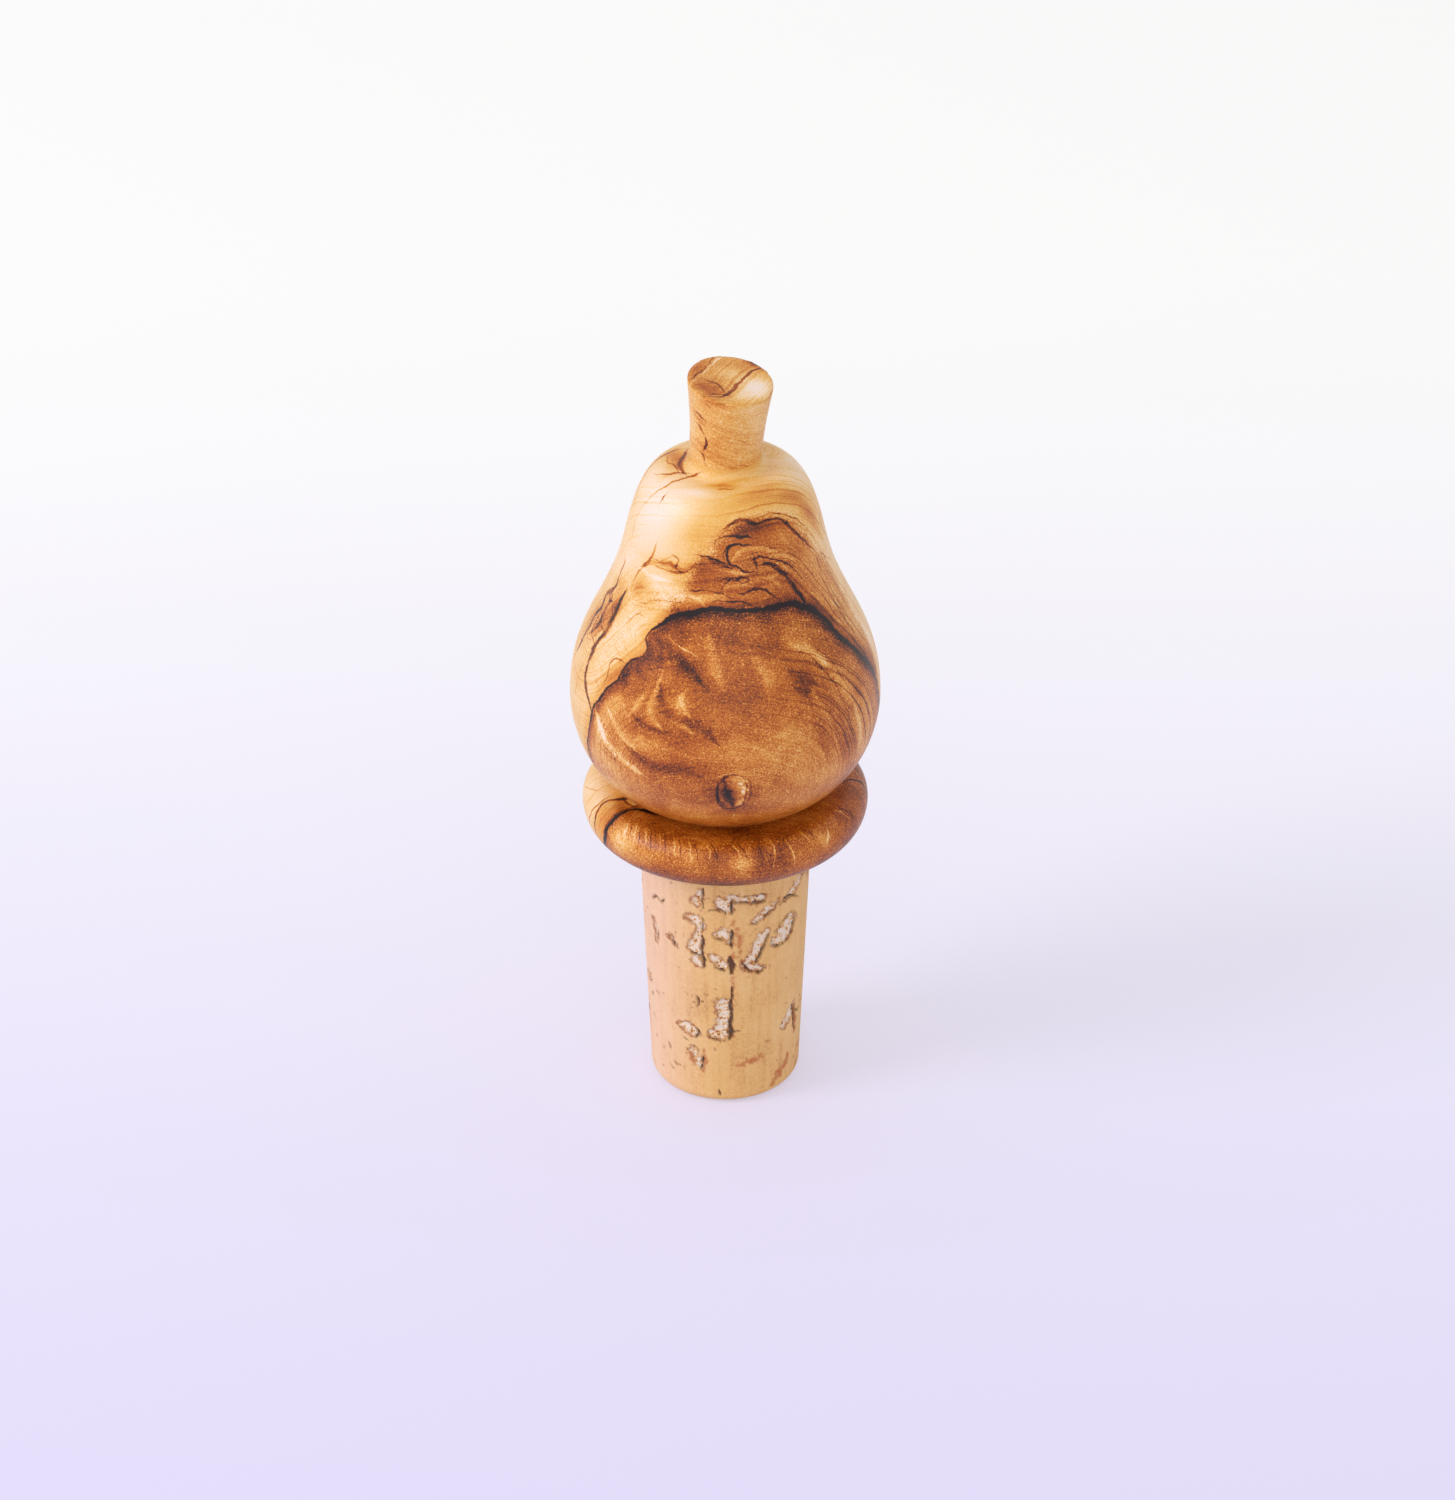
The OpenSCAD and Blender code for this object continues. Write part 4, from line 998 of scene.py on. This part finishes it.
class Graph:
    """Adds nodes to a material and joins them."""

    def __init__(self, name):
        self.material = bpy.data.materials.new(name)
        self.material.use_nodes = True
        self.tree = self.material.node_tree
        self.surface = self.tree.nodes["Principled BSDF"]

    def set_surface(self, inputs):
        """Gives the surface its values."""
        for name, value in inputs.items():
            self.put(self.surface.inputs[name], value)

    def put(self, socket, value):
        """Feeds a socket with another node's output, a number or a colour."""
        if isinstance(value, bpy.types.NodeSocket):
            self.tree.links.new(value, socket)
        else:
            socket.default_value = (*value, 1) if socket.type == "RGBA" else value

    def add(self, kind, output, inputs, **settings):
        """Adds a node and gives one of its outputs."""
        node = self.tree.nodes.new(kind)
        for name, value in settings.items():
            setattr(node, name, value)
        for socket, value in inputs.items():
            self.put(node.inputs[socket], value)
        return node.outputs[output]

    def maths(self, operation, a, b=0.0, clamp=False):
        return self.add("ShaderNodeMath", 0, {0: a, 1: b}, operation=operation, use_clamp=clamp)

    def plus(self, a, b):
        return self.maths("ADD", a, b)

    def times(self, a, b):
        return self.maths("MULTIPLY", a, b)

    def total(self, *parts):
        """Adds up values; one that comes with a share, as a pair, is multiplied by it first."""
        found, *others = [self.times(*part) if isinstance(part, tuple) else part for part in parts]
        for value in others:
            found = self.plus(found, value)
        return found

    def rise(self, value, low, high):
        """From 0 to 1, smoothly, as the value goes from low to high."""
        return self.add("ShaderNodeMapRange", 0, {"Value": value, "From Min": low, "From Max": high},
                        interpolation_type="SMOOTHSTEP")

    def fall(self, value, low, high):
        """From 1 to 0, smoothly, as the value goes from low to high."""
        return self.maths("SUBTRACT", 1.0, self.rise(value, low, high))

    def place(self):
        """The place on the object, in metres."""
        return self.add("ShaderNodeTexCoord", "Object", {})

    def kept(self, name, output="Fac"):
        """A number or a vector that is kept on the mesh."""
        return self.add("ShaderNodeAttribute", output, {}, attribute_name=name)

    def parts(self, vector):
        """A vector's three numbers."""
        node = self.tree.nodes.new("ShaderNodeSeparateXYZ")
        self.put(node.inputs[0], vector)
        return node.outputs[0], node.outputs[1], node.outputs[2]

    def noise(self, place, scale, detail=2.0, roughness=0.5, w=None):
        """Noise from 0 to 1; with a second coordinate w, it follows the lines of equal w."""
        inputs = {"Scale": scale, "Detail": detail, "Roughness": roughness}
        if place is not None:
            inputs["Vector"] = place
        if w is not None:
            inputs["W"] = w
        kind = "3D" if w is None else "4D" if place is not None else "1D"
        return self.add("ShaderNodeTexNoise", "Fac", inputs, noise_dimensions=kind)

    def swing(self, *where, **more):
        """The same noise, from half below zero to half above."""
        return self.plus(self.noise(*where, **more), -0.5)

    def ramp(self, value, stops):
        """Colours along a value from 0 to 1; stops are (position, colour)."""
        node = self.tree.nodes.new("ShaderNodeValToRGB")
        self.put(node.inputs[0], value)
        band = node.color_ramp
        while len(band.elements) < len(stops):
            band.elements.new(0.5)
        for element, (position, shade) in zip(band.elements, stops):
            element.position = position
            element.color = (*shade, 1)
        return node.outputs[0]

    def mix(self, share, a, b):
        """From colour a to colour b as the share goes from 0 to 1."""
        return self.add("ShaderNodeMix", 2, {0: share, 6: a, 7: b}, data_type="RGBA")

    def bump(self, height, depth, strength):
        """Relief for the surface; the height runs from 0 to 1 over the depth in metres."""
        return self.add("ShaderNodeBump", 0, {"Height": height, "Distance": depth, "Strength": strength})


def drawn_line(g, channel, wobble, fibre, swell):
    """How dark a set of drawn lines makes each place: their edges wander and their width varies.
    The edges of strokes broader than half a millimetre are softer and follow the grain."""
    distance, half, darkness = g.parts(g.kept(channel, "Vector"))
    broad = g.maths("MAXIMUM", g.plus(half, -0.25), 0.0)
    off = g.maths("ABSOLUTE", g.total(distance, wobble, (g.times(fibre, broad), 6.0)))
    soft = g.total(0.12, (broad, 1.1))
    cover = g.maths("DIVIDE", g.maths("SUBTRACT", g.times(half, swell), off), soft, clamp=True)
    return g.times(cover, darkness)


def olive_wood(wood):
    """Polished olive wood, darker by its tone from cream sapwood to the black lines."""
    g = Graph("olive_wood")
    place = g.place()
    ring, ringing, mottle = g.parts(g.kept("grain", "Vector"))
    wobble = g.times(g.swing(place, 900, 3, 0.6), 0.8)
    swell = g.total(0.45, (g.noise(place, 500, 2), 1.1))

    # unevenness, from broad clouds and bands to single fibres and flecks, and painted glints: pale specks
    # that stand in for the polish's sparkle
    cloud = g.swing(place, 230, 3, 0.55)
    band = g.swing(place, 70, 2, 0.5, w=g.times(ring, 0.75))
    fibre = g.swing(place, 150, 4, 0.65, w=g.times(ring, 1.7))
    stroke = g.swing(place, 620, 2, 0.6, w=g.times(ring, 4.5))
    fleck = g.swing(place, 5200, 1, 0.6)
    # painted glints: tiny pale specks in the colour, standing in for sparkling highlights on the polish
    painted_glint = g.rise(g.noise(place, 4300, 1, 0.5), 0.6, 0.72)
    uneven = g.total((cloud, 0.46), (fibre, 0.58), (stroke, 0.5), (fleck, 0.6), (painted_glint, -0.2), (band, 0.36))
    tone = g.total(g.kept("tone"), (mottle, uneven))

    # the swirl, with a ragged edge
    edge = g.total(g.kept("swirl"), (fibre, 3.2), (fleck, 1.5))
    tone = g.total(tone, (g.rise(edge, -0.5, 0.9), TONES["swirl"]))

    # growth lines, where the wavy rings cross the middle of a noise
    wavy_ring = g.total(ring, (g.noise(place, 160, 2), 1.2))
    growth = g.maths("ABSOLUTE", g.swing(None, 0.9, 3, 0.75, w=wavy_ring))
    line = g.times(g.fall(growth, 0.0, 0.035), ringing)
    tone = g.total(tone, (line, g.times(swell, 0.42)))

    for index in range(LINE_SETS):
        tone = g.plus(tone, drawn_line(g, f"lines_{index}", wobble, fibre, swell))

    # the black line round the heartwood, ragged, with a brown halo
    distance, half, _ = g.parts(g.kept("heart_line", "Vector"))
    near = g.maths("ABSOLUTE", g.total(distance, (wobble, 0.6), (g.swing(place, 1500, 3, 0.7), 0.4)))
    tone = g.total(tone, (g.fall(near, 0.1, 1.8), g.times(half, 0.55)))
    width = g.times(half, g.total(0.3, (swell, 0.62)))
    black = g.maths("DIVIDE", g.maths("SUBTRACT", width, near), 0.2, clamp=True)
    tone = g.maths("MAXIMUM", tone, black)

    stops = ((0.0, wood.cream), (0.15, wood.pale), (0.30, wood.gold), (0.42, wood.tan),
             (0.55, wood.orange), (0.68, wood.brown), (0.84, wood.dark), (1.0, wood.black))
    grain = g.total((fibre, 0.5), (g.noise(place, 2600, 2), 0.6))
    g.set_surface({"Base Color": g.ramp(tone, stops), "Roughness": g.total(0.38, (fleck, 0.25)),
                   "Normal": g.bump(grain, 0.035 * MM, 0.6), "Specular IOR Level": 0.3,
                   "Coat Weight": 0.17, "Coat Roughness": 0.3})
    return g.material


# ---------------------------------------------------------------- the cork

PORE_DEPTH = 0.22                       # in millimetres, as are the two that follow
CRUMB_DEPTH = 0.16
CRACK_DEPTH = 0.42

# Open pores and cracks: half widths in millimetres along the way, then azimuths and heights.
PORES = (
    ((0.15, 0.45, 0.6), (-16.5, 31.3), (-18, 30.4), (-19.5, 29.9)),
    ((0.5, 0.8, 0.5), (-5, 30.1), (-1, 29.6), (2, 29.1)),
    ((0.25, 0.3, 0.15, 0.35, 0.3), (3, 30.8), (10, 30.4), (15, 30.3), (21, 30.1), (26, 30.1)),
    ((0.15, 0.38, 0.4, 0.15), (20, 26.9), (26, 27.6), (32, 28.2), (38, 28.9)),
    ((0.3, 0.55, 0.5, 0.3), (-26, 27.4), (-21, 27.2), (-18, 26.5), (-18, 25.7)),
    ((0.35, 0.5, 0.7, 0.4), (-19, 25), (-20, 24), (-22, 23.1), (-19, 22.3)),
    ((0.25, 0.42, 0.2), (-23, 21.4), (-20, 20.9), (-17, 20.6)),
    ((0.3, 0.7, 0.6, 0.2), (-6, 25.3), (-2, 25.5), (2, 25.2), (3, 24.3)),
    ((0.25, 0.35, 0.55, 0.5), (-10, 22), (-6, 21.6), (-3, 21.1), (0, 20.8)),
    ((0.3, 0.6, 0.6, 0.5, 0.35), (30, 25), (25, 23.9), (22, 22.6), (20, 21.6), (15, 20.9)),
    ((0.3, 0.35, 0.3), (14, 20.5), (20, 20.2), (26, 19.8)),
    ((0.6, 1.2, 0.8), (38, 23), (46, 23.7), (52, 25)),
    ((0.25, 0.45, 0.4), (46, 28.7), (54, 29.4), (62, 30.2)),
    ((0.45, 0.5, 0.4), (-5, 15), (-2, 14.8), (2, 14.9)),
    ((0.8, 0.6, 0.85), (-1, 14.9), (-1.5, 13), (-2.5, 11.3)),
    ((0.4, 0.7, 0.55), (-9, 10.6), (-4, 10.6), (0.5, 10.8)),
    ((0.4, 0.75, 0.6, 0.3), (-34, 11), (-29, 10.8), (-25, 10.5), (-22, 10.2)),
    ((0.3, 0.7, 0.4), (49, 9.6), (55, 10.6), (60, 11.6)),
    ((0.35, 0.5, 0.4), (-25, 7.5), (-21.5, 6.6), (-20, 5.6)),
    ((0.1, 0.2, 0.1), (-60, 24.5), (-57, 23), (-58, 21.6)),
    ((0.1, 0.22, 0.1), (-43, 23.6), (-40, 23.2), (-37, 22.6)),
)
CRACKS = (
    ((0.1, 0.15, 0.1), (-15.3, 31.9), (-15.5, 30.5), (-15.2, 29.1)),
    ((0.15, 0.2, 0.1), (4.5, 30.4), (4, 29.4), (4.6, 28.5)),
    ((0.06, 0.12, 0.08), (-11, 28.8), (-4, 29), (0, 28.5)),
    ((0.05, 0.1, 0.1), (2, 31.2), (10, 30.9), (18, 30.7), (27, 30.6)),
    ((0.1, 0.12, 0.1), (5, 30), (12, 29.9), (20, 29.6), (28, 29.5)),
    ((0.05, 0.1, 0.05), (19, 26.5), (26, 27), (33, 27.8), (38, 28.4)),
    ((0.08, 0.14, 0.2, 0.1), (40, 28.2), (48, 28.7), (55, 28.3), (60, 27.7)),
    ((0.1, 0.13, 0.1), (-15.5, 27.8), (-15.6, 26.8), (-16, 25.6)),
    ((0.12, 0.22, 0.2, 0.25, 0.1), (-16, 25), (-15.6, 24), (-17, 22.6), (-15, 21.4), (-15.4, 20.3)),
    ((0.06, 0.12, 0.1), (-24.5, 22.3), (-21, 22), (-18, 21.8)),
    ((0.12, 0.25, 0.15, 0.1), (4.4, 26.1), (5, 25.2), (4, 24.3), (4.6, 23.4)),
    ((0.05, 0.12, 0.08), (-9, 24.8), (-4, 24.6), (0, 24.4)),
    ((0.15, 0.4, 0.45, 0.2), (3.4, 22.1), (4, 21.3), (5, 20.6), (4.4, 19.7)),
    ((0.05, 0.14, 0.1), (-8, 20.5), (-3, 20.2), (1, 20)),
    ((0.1, 0.2, 0.2, 0.1), (31.5, 24.4), (28, 22.8), (25, 21.7), (22.5, 20.8)),
    ((0.1, 0.16, 0.15, 0.08), (12, 21), (17, 19.8), (26, 19.2), (28.5, 20)),
    ((0.06, 0.12, 0.08, 0.12, 0.06), (35, 24), (36, 22.6), (42, 22.1), (50, 22.5), (56, 24), (57, 25.8)),
    ((0.05, 0.1, 0.05), (36, 24.4), (42, 25.3), (50, 26.2), (56, 26)),
    ((0.05, 0.18, 0.25, 0.2, 0.28, 0.3, 0.15), (4.6, 17.6), (5, 16), (3.8, 14.7), (5, 13.2), (3.6, 12.1),
     (4.8, 10.8), (3, 9.8)),
    ((0.2, 0.12, 0.06), (3, 10.6), (8, 10.9), (12.5, 10.9)),
    ((0.06, 0.13, 0.08), (-12, 9.9), (-6, 9.6), (0, 9.5)),
    ((0.12, 0.2, 0.1), (-21, 11.2), (-20, 10.3), (-22.5, 9.6)),
    ((0.08, 0.22, 0.08), (-20.6, 15.8), (-19.4, 15), (-20.6, 14.3)),
    ((0.05, 0.1, 0.05), (-23, 14.8), (-20, 15), (-16.5, 15.2)),
    ((0.15, 0.3, 0.3, 0.15), (61, 11.9), (62.5, 10), (64, 8.6), (66, 7.4)),
    ((0.1, 0.18, 0.1), (-17, 7), (-17.4, 6), (-19, 5)),
    ((0.05, 0.1, 0.05), (-27, 8.2), (-23, 8.3), (-20, 7.7)),
    ((0.08, 0.18, 0.1, 0.06), (-60, 27.4), (-55, 28.2), (-50, 27.8), (-45, 28.7)),
    ((0.06, 0.13, 0.06), (-57, 23.8), (-55, 23), (-54.5, 22)),
    ((0.06, 0.15, 0.08), (-41, 23.9), (-39.5, 23), (-38, 22.3)),
    ((0.06, 0.14, 0.06), (-49, 7.5), (-47, 7), (-46, 6.4)),
    ((0.08, 0.16, 0.08), (-43, 4.8), (-40, 4.5), (-37, 4.7)),
    ((0.06, 0.12, 0.06), (-48, 4.1), (-45, 3.7), (-43, 3.6)),
    ((0.06, 0.3, 0.25, 0.06), (-80, 11), (-81, 9), (-80, 7), (-78, 6)),
    ((0.06, 0.15, 0.06), (-5, 2.2), (-4, 1.6), (-3.6, 1)),
    ((0.05, 0.1, 0.05), (-34, 9.2), (-31, 8.9), (-28, 8.8)),
)
STAINS = (
    ((0.25, 0.4, 0.25), (10, 5.9), (18, 6.2), (26, 6.6)),
    ((0.4, 0.7, 0.5, 0.3), (41, 1.9), (46, 2.8), (52, 3.6), (56, 4.6)),
    ((0.3, 0.4, 0.2), (-28, 7), (-25.5, 6.4), (-24.5, 5.4)),
    ((0.05, 0.12, 0.14, 0.08), (5.6, 28), (5, 24), (5.4, 20), (5, 16)),
    ((0.2, 0.5, 0.2), (62, 10.6), (64, 8.8), (65, 7.4)),
    ((0.1, 0.3, 0.1), (-16, 8), (-15, 6.4), (-17, 5)),
    ((0.1, 0.25, 0.1), (8, 26), (10, 24), (9, 22)),
    ((0.2, 0.3, 0.2), (14, 20.2), (20, 19.6), (26, 19.6)),
)


def scattered_strokes(seed, count, longest, widest, azimuths, heights):
    """More strokes of the same kind, mostly lying level, between azimuths in degrees and heights
    in millimetres, as are the longest half length and the widest half width."""
    chance = random.Random(seed)
    strokes = []
    for _ in range(count):
        azimuth, height = chance.uniform(*azimuths), chance.uniform(*heights)
        size, turn = chance.uniform(0.25, 1) * longest, chance.gauss(0, 0.5)
        bend = chance.uniform(-0.3, 0.3) * size
        spots = [(azimuth + 5.6 * (t * size * math.cos(turn)),
                  height + t * size * math.sin(turn) + bend * (1 - t * t)) for t in (-1, -0.4, 0.3, 1)]
        widths = [chance.uniform(0.3, 1) * widest for _ in spots]
        strokes.append(((0.3 * widths[0], *widths[1:3], 0.3 * widths[3]), *spots))
    return strokes


def stroke_cover(strokes, s, points, normals, rough, shift):
    """How far inside the widest-reaching stroke each point lies, in millimetres; below zero
    outside. The edges are made ragged with noise, which is shifted so that no two tables share it."""
    inside = np.full(len(points), -2.0)
    for widths, *spots in strokes:
        azimuths, heights = spline(spots, 1.5).T
        path = turned(azimuths, cork_radius(s, heights * MM), heights * MM)
        distance, along, near = near_path(path, points, normals, (max(widths) + 1.2) * MM)
        here = width_along(along, widths) - np.abs(distance) / MM
        inside = np.where(near, np.maximum(inside, here), inside)
    for index in np.flatnonzero(inside > -0.8):
        spot = Vector(points[index]) / MM
        ragged = noise.noise(spot * 1.7 + Vector((shift, 0, 0))) + 0.6 * noise.noise(spot * 4.1)
        inside[index] += rough * ragged
    return inside


def cork_radius(s, heights):
    """The cork's radius by height; its side is a straight taper."""
    return s.cork_tip_d / 2 + (s.cork_top_d - s.cork_tip_d) / 2 * heights / s.cork_len


def model_cork(s):
    """Turns the cork: rounded small end, tapered side, and the bore that the tenon fills."""
    tip = s.cork_tip_d / 2
    top = s.cork_top_d / 2
    rim = s.cork_rim_r
    bore = s.tenon_d / 2 + s.glue_gap
    floor = s.cork_len - s.tenon_len - s.bore_relief
    low = place(tip, rim)
    high = place(top, s.cork_len)
    outline = ([place(0, 0)] + straight(place(0, 0), place(tip - rim, 0), 4 * CORK_ROW)[:-1]
               + arc(place(tip - rim, rim), rim, rim, -90, 0, CORK_ROW)
               + straight(low, high, CORK_ROW)
               + [place(bore, s.cork_len), place(bore, floor), place(0, floor)])
    body = turn_on_lathe("natural_cork", outline, CORK_STEPS)
    bpy.ops.object.shade_smooth()
    return body


def carve_cork(s, body):
    """Opens the pores and cracks in the cork's side and keeps on the mesh where they are."""
    mesh = body.data
    points, normals = points_of(mesh), points_of(mesh, "normal")
    from_axis = np.hypot(points[:, 0], points[:, 1])
    outside = (from_axis > 0.6 * cork_radius(s, points[:, 2])) & (points[:, 2] < s.cork_len - TOUCH)

    def cover(drawn, rough, shift, **scatter):
        """The strokes drawn in front, with more of them scattered over the sides and the back."""
        strokes = (*drawn, *scattered_strokes(azimuths=(68, 292), **scatter))
        return stroke_cover(strokes, s, points, normals, rough, shift)

    pores = cover(PORES, rough=0.42, shift=3,
                  seed=11, count=26, longest=1.9, widest=0.75, heights=(3, 33))
    cracks = cover(CRACKS, rough=0.13, shift=9,
                   seed=12, count=46, longest=1.5, widest=0.22, heights=(1.5, 35))
    stains = cover(STAINS, rough=0.5, shift=5,
                   seed=13, count=9, longest=1.6, widest=0.5, heights=(1.5, 20))
    pore, crack = smooth_step(-0.2, 0.1, pores), smooth_step(-0.06, 0.1, cracks)
    crumbs = np.zeros(len(points))
    for index in np.flatnonzero(pore > 0.02):
        crumbs[index] = noise.noise(Vector(points[index]) / MM * 3.3)
    depth = pore * (PORE_DEPTH + CRUMB_DEPTH * crumbs) + CRACK_DEPTH * crack * (1 - 0.3 * pore)
    inward = (depth * outside * MM / np.maximum(from_axis, MM))[:, None]
    points[:, :2] -= inward * points[:, :2]
    move_points(mesh, points)
    store(mesh, "pore", pore * outside)
    store(mesh, "crack", crack * outside)
    # a ring just outside each pore, which the material darkens: partly the cork's own dark rim, partly
    # painted shade at the pit's edge
    store(mesh, "edge", np.exp(-(pores + 0.2) ** 2 / 0.15 ** 2) * outside)
    store(mesh, "stain", smooth_step(-0.25, 0.2, stains) * outside)


def natural_cork(cork):
    """Natural cork: fine upright grain, dusty pores with a patchy dark brown rim round them, partly the
    cork's own and partly painted shade, rusty stains, and painted light down the left side.
    """
    g = Graph("natural_cork")
    place = g.place()
    upright = g.add("ShaderNodeVectorMath", 0, {0: place, 1: (1, 1, 0.07)}, operation="MULTIPLY")
    streak = g.swing(upright, 1100, 4, 0.6)
    cloud = g.swing(place, 140, 4, 0.6)
    grit = g.swing(place, 2600, 3, 0.6)
    crumb = g.swing(place, 1300, 3, 0.7)
    tone = g.total(0.40, (streak, 0.55), (cloud, 0.6), (grit, 0.5))
    body = g.ramp(tone, ((0.0, cork.light), (0.45, cork.tan), (0.85, cork.brown), (1.0, cork.bark)))
    # painted light: the cork's left side is mixed halfway towards a pale pinkish colour, as if lit from the
    # left
    left = g.rise(g.parts(place)[0], -1.0 * MM, -10.5 * MM)
    speck = g.rise(g.noise(place, 900, 2, 0.5), 0.66, 0.74)
    patchy = g.rise(g.noise(place, 900, 2), 0.3, 0.55)
    dust = g.ramp(g.total(0.5, (grit, 1.3), (crumb, 1.5)),
                  ((0.12, cork.brown), (0.34, cork.tan), (0.5, cork.dust), (1.0, cork.dust)))
    for share, shade in ((g.times(left, 0.5), cork.left_painted_light), (g.times(speck, 0.55), cork.brown),
                         (g.times(g.kept("stain"), g.plus(0.8, grit)), cork.rust), (g.kept("pore"), dust),
                         # the ring round each pore: partly the cork's own dark rim, partly painted shade
                         (g.times(g.kept("edge"), patchy), cork.brown),
                         (g.times(g.kept("crack"), 0.92), cork.bark)):
        body = g.mix(share, body, shade)
    g.set_surface({"Base Color": body, "Roughness": g.total(0.62, (grit, 0.2)),
                   "Normal": g.bump(g.plus(streak, grit), 0.05 * MM, 0.5)})
    return g.material


# ---------------------------------------------------------------- operators

class STOPPER_OT_turned_handle(bpy.types.Operator):
    """Turn the pear, its stalk, the collar and the hidden tenon from one blank of olive wood"""
    bl_idname = "stopper.turned_handle"
    bl_label = "Turned Handle"

    def execute(self, context):
        form = HandleForm(context.scene.stopper_sizes, HANDLE_ROW)
        body, upright, regions = model_handle(form)
        paint_handle(form, body, upright, regions)
        body.data.materials.append(olive_wood(context.scene.stopper_wood))
        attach(body, "root")
        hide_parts("turned_handle")
        return {"FINISHED"}


class STOPPER_OT_cork(bpy.types.Operator):
    """Cut the tapered cork with its open pores, bored for the tenon"""
    bl_idname = "stopper.cork"
    bl_label = "Cork"

    def execute(self, context):
        s = context.scene.stopper_sizes
        body = model_cork(s)
        carve_cork(s, body)
        body.data.materials.append(natural_cork(context.scene.stopper_cork))
        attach(body, "root")
        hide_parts("cork")
        return {"FINISHED"}


class STOPPER_OT_studio(bpy.types.Operator):
    """Set up the camera, the soft lights and the plain floor"""
    bl_idname = "stopper.studio"
    bl_label = "Studio"

    def execute(self, context):
        studio = context.scene.stopper_studio
        add_camera(context.scene, studio)
        add_floor(studio)
        add_light("key_light", place=(-0.99, -0.36, 0.78), size=0.46,
                  power=studio.key_power, tint=(0.98, 0.96, 1.12))
        add_light("fill_light", place=(0.10, -1.25, 0.55), size=1.40,
                  power=studio.fill_power, tint=(1.01, 1.0, 0.94))
        light_the_room(context.scene, studio)
        return {"FINISHED"}


def add_camera(scene, studio):
    """A long lens, looking down at the middle of the stopper."""
    tilt = studio.camera_tilt
    back = -studio.camera_distance * math.cos(tilt)
    up = studio.aim_height + studio.camera_distance * math.sin(tilt)
    deselect_everything()
    bpy.ops.object.camera_add(location=(0, back, up), rotation=(math.pi / 2 - tilt, 0, 0))
    camera = bpy.context.active_object
    camera.name = "camera"
    camera.data.lens = studio.lens
    camera.data.sensor_width = studio.sensor
    camera.data.sensor_fit = "AUTO"
    camera.data.shift_x = studio.shift
    camera.data.clip_start = 0.01
    camera.data.dof.use_dof = False
    scene.camera = camera


def add_light(name, place, size, power, tint):
    """A square soft box that faces the middle of the stopper."""
    aim = Vector((0, 0, 45 * MM)) - Vector(place)
    deselect_everything()
    bpy.ops.object.light_add(type="AREA", location=place, rotation=aim.to_track_quat("-Z", "Y").to_euler())
    light = bpy.context.active_object
    light.name = name
    light.data.size = size
    light.data.color = tint
    light.data.energy = power


def light_the_room(scene, studio):
    """Even, slightly violet light from all round."""
    world = bpy.data.worlds.new("room")
    world.use_nodes = True
    background = world.node_tree.nodes["Background"]
    background.inputs["Color"].default_value = (0.945, 0.935, 0.99, 1)
    background.inputs["Strength"].default_value = studio.sky
    scene.world = world
    scene.view_settings.view_transform = "Standard"


def add_floor(studio):
    """A plain floor, pale violet from 12 cm in front of the stopper and nearly white from 22 cm
    behind it. A share of its colour is seen whatever light falls on it, so its shadow stays soft."""
    deselect_everything()
    bpy.ops.mesh.primitive_plane_add(size=8)
    floor = bpy.context.active_object
    floor.name = "floor"
    g = Graph("floor")
    far = g.rise(g.parts(g.place())[1], -0.12, 0.22)
    paper = g.mix(far, studio.floor_near, studio.floor_far)
    g.set_surface({"Base Color": paper, "Roughness": 0.85, "Specular IOR Level": 0.2})
    seen = g.plus(*(g.add("ShaderNodeLightPath", ray, {}) for ray in ("Is Camera Ray", "Is Glossy Ray")))
    glow = g.add("ShaderNodeEmission", "Emission", {"Color": paper, "Strength": 1.0})
    mixed = g.add("ShaderNodeMixShader", "Shader",
                  {0: g.times(seen, studio.floor_glow), 1: g.surface.outputs[0], 2: glow})
    g.put(g.tree.nodes["Material Output"].inputs["Surface"], mixed)
    floor.data.materials.append(g.material)


# ---------------------------------------------------------------- the add-on

class STOPPER_PT_panel(bpy.types.Panel):
    """Buttons for the stopper's pieces and its studio"""
    bl_idname = "STOPPER_PT_panel"
    bl_label = "Pear Bottle Stopper"
    bl_space_type = "VIEW_3D"
    bl_region_type = "UI"
    bl_category = "Stopper"

    def draw(self, context):
        for operator in OPERATORS:
            self.layout.operator(operator.bl_idname)


OPERATORS = (STOPPER_OT_turned_handle, STOPPER_OT_cork, STOPPER_OT_studio)
SETTINGS = {"stopper_sizes": StopperSizes, "stopper_wood": WoodColours,
            "stopper_cork": CorkColours, "stopper_studio": StudioSettings}


def register():
    """Makes the settings, the operators and the panel known."""
    for kind in (*SETTINGS.values(), *OPERATORS, STOPPER_PT_panel):
        bpy.utils.register_class(kind)
    for name, kind in SETTINGS.items():
        setattr(bpy.types.Scene, name, PointerProperty(type=kind))


def unregister():
    """Takes them all away again."""
    for name in SETTINGS:
        delattr(bpy.types.Scene, name)
    for kind in (STOPPER_PT_panel, *reversed(OPERATORS), *SETTINGS.values()):
        bpy.utils.unregister_class(kind)


def main():
    """Builds the pieces and the studio."""
    register()
    bpy.ops.stopper.turned_handle()
    bpy.ops.stopper.cork()
    bpy.ops.stopper.studio()


if __name__ == "__main__":
    main()
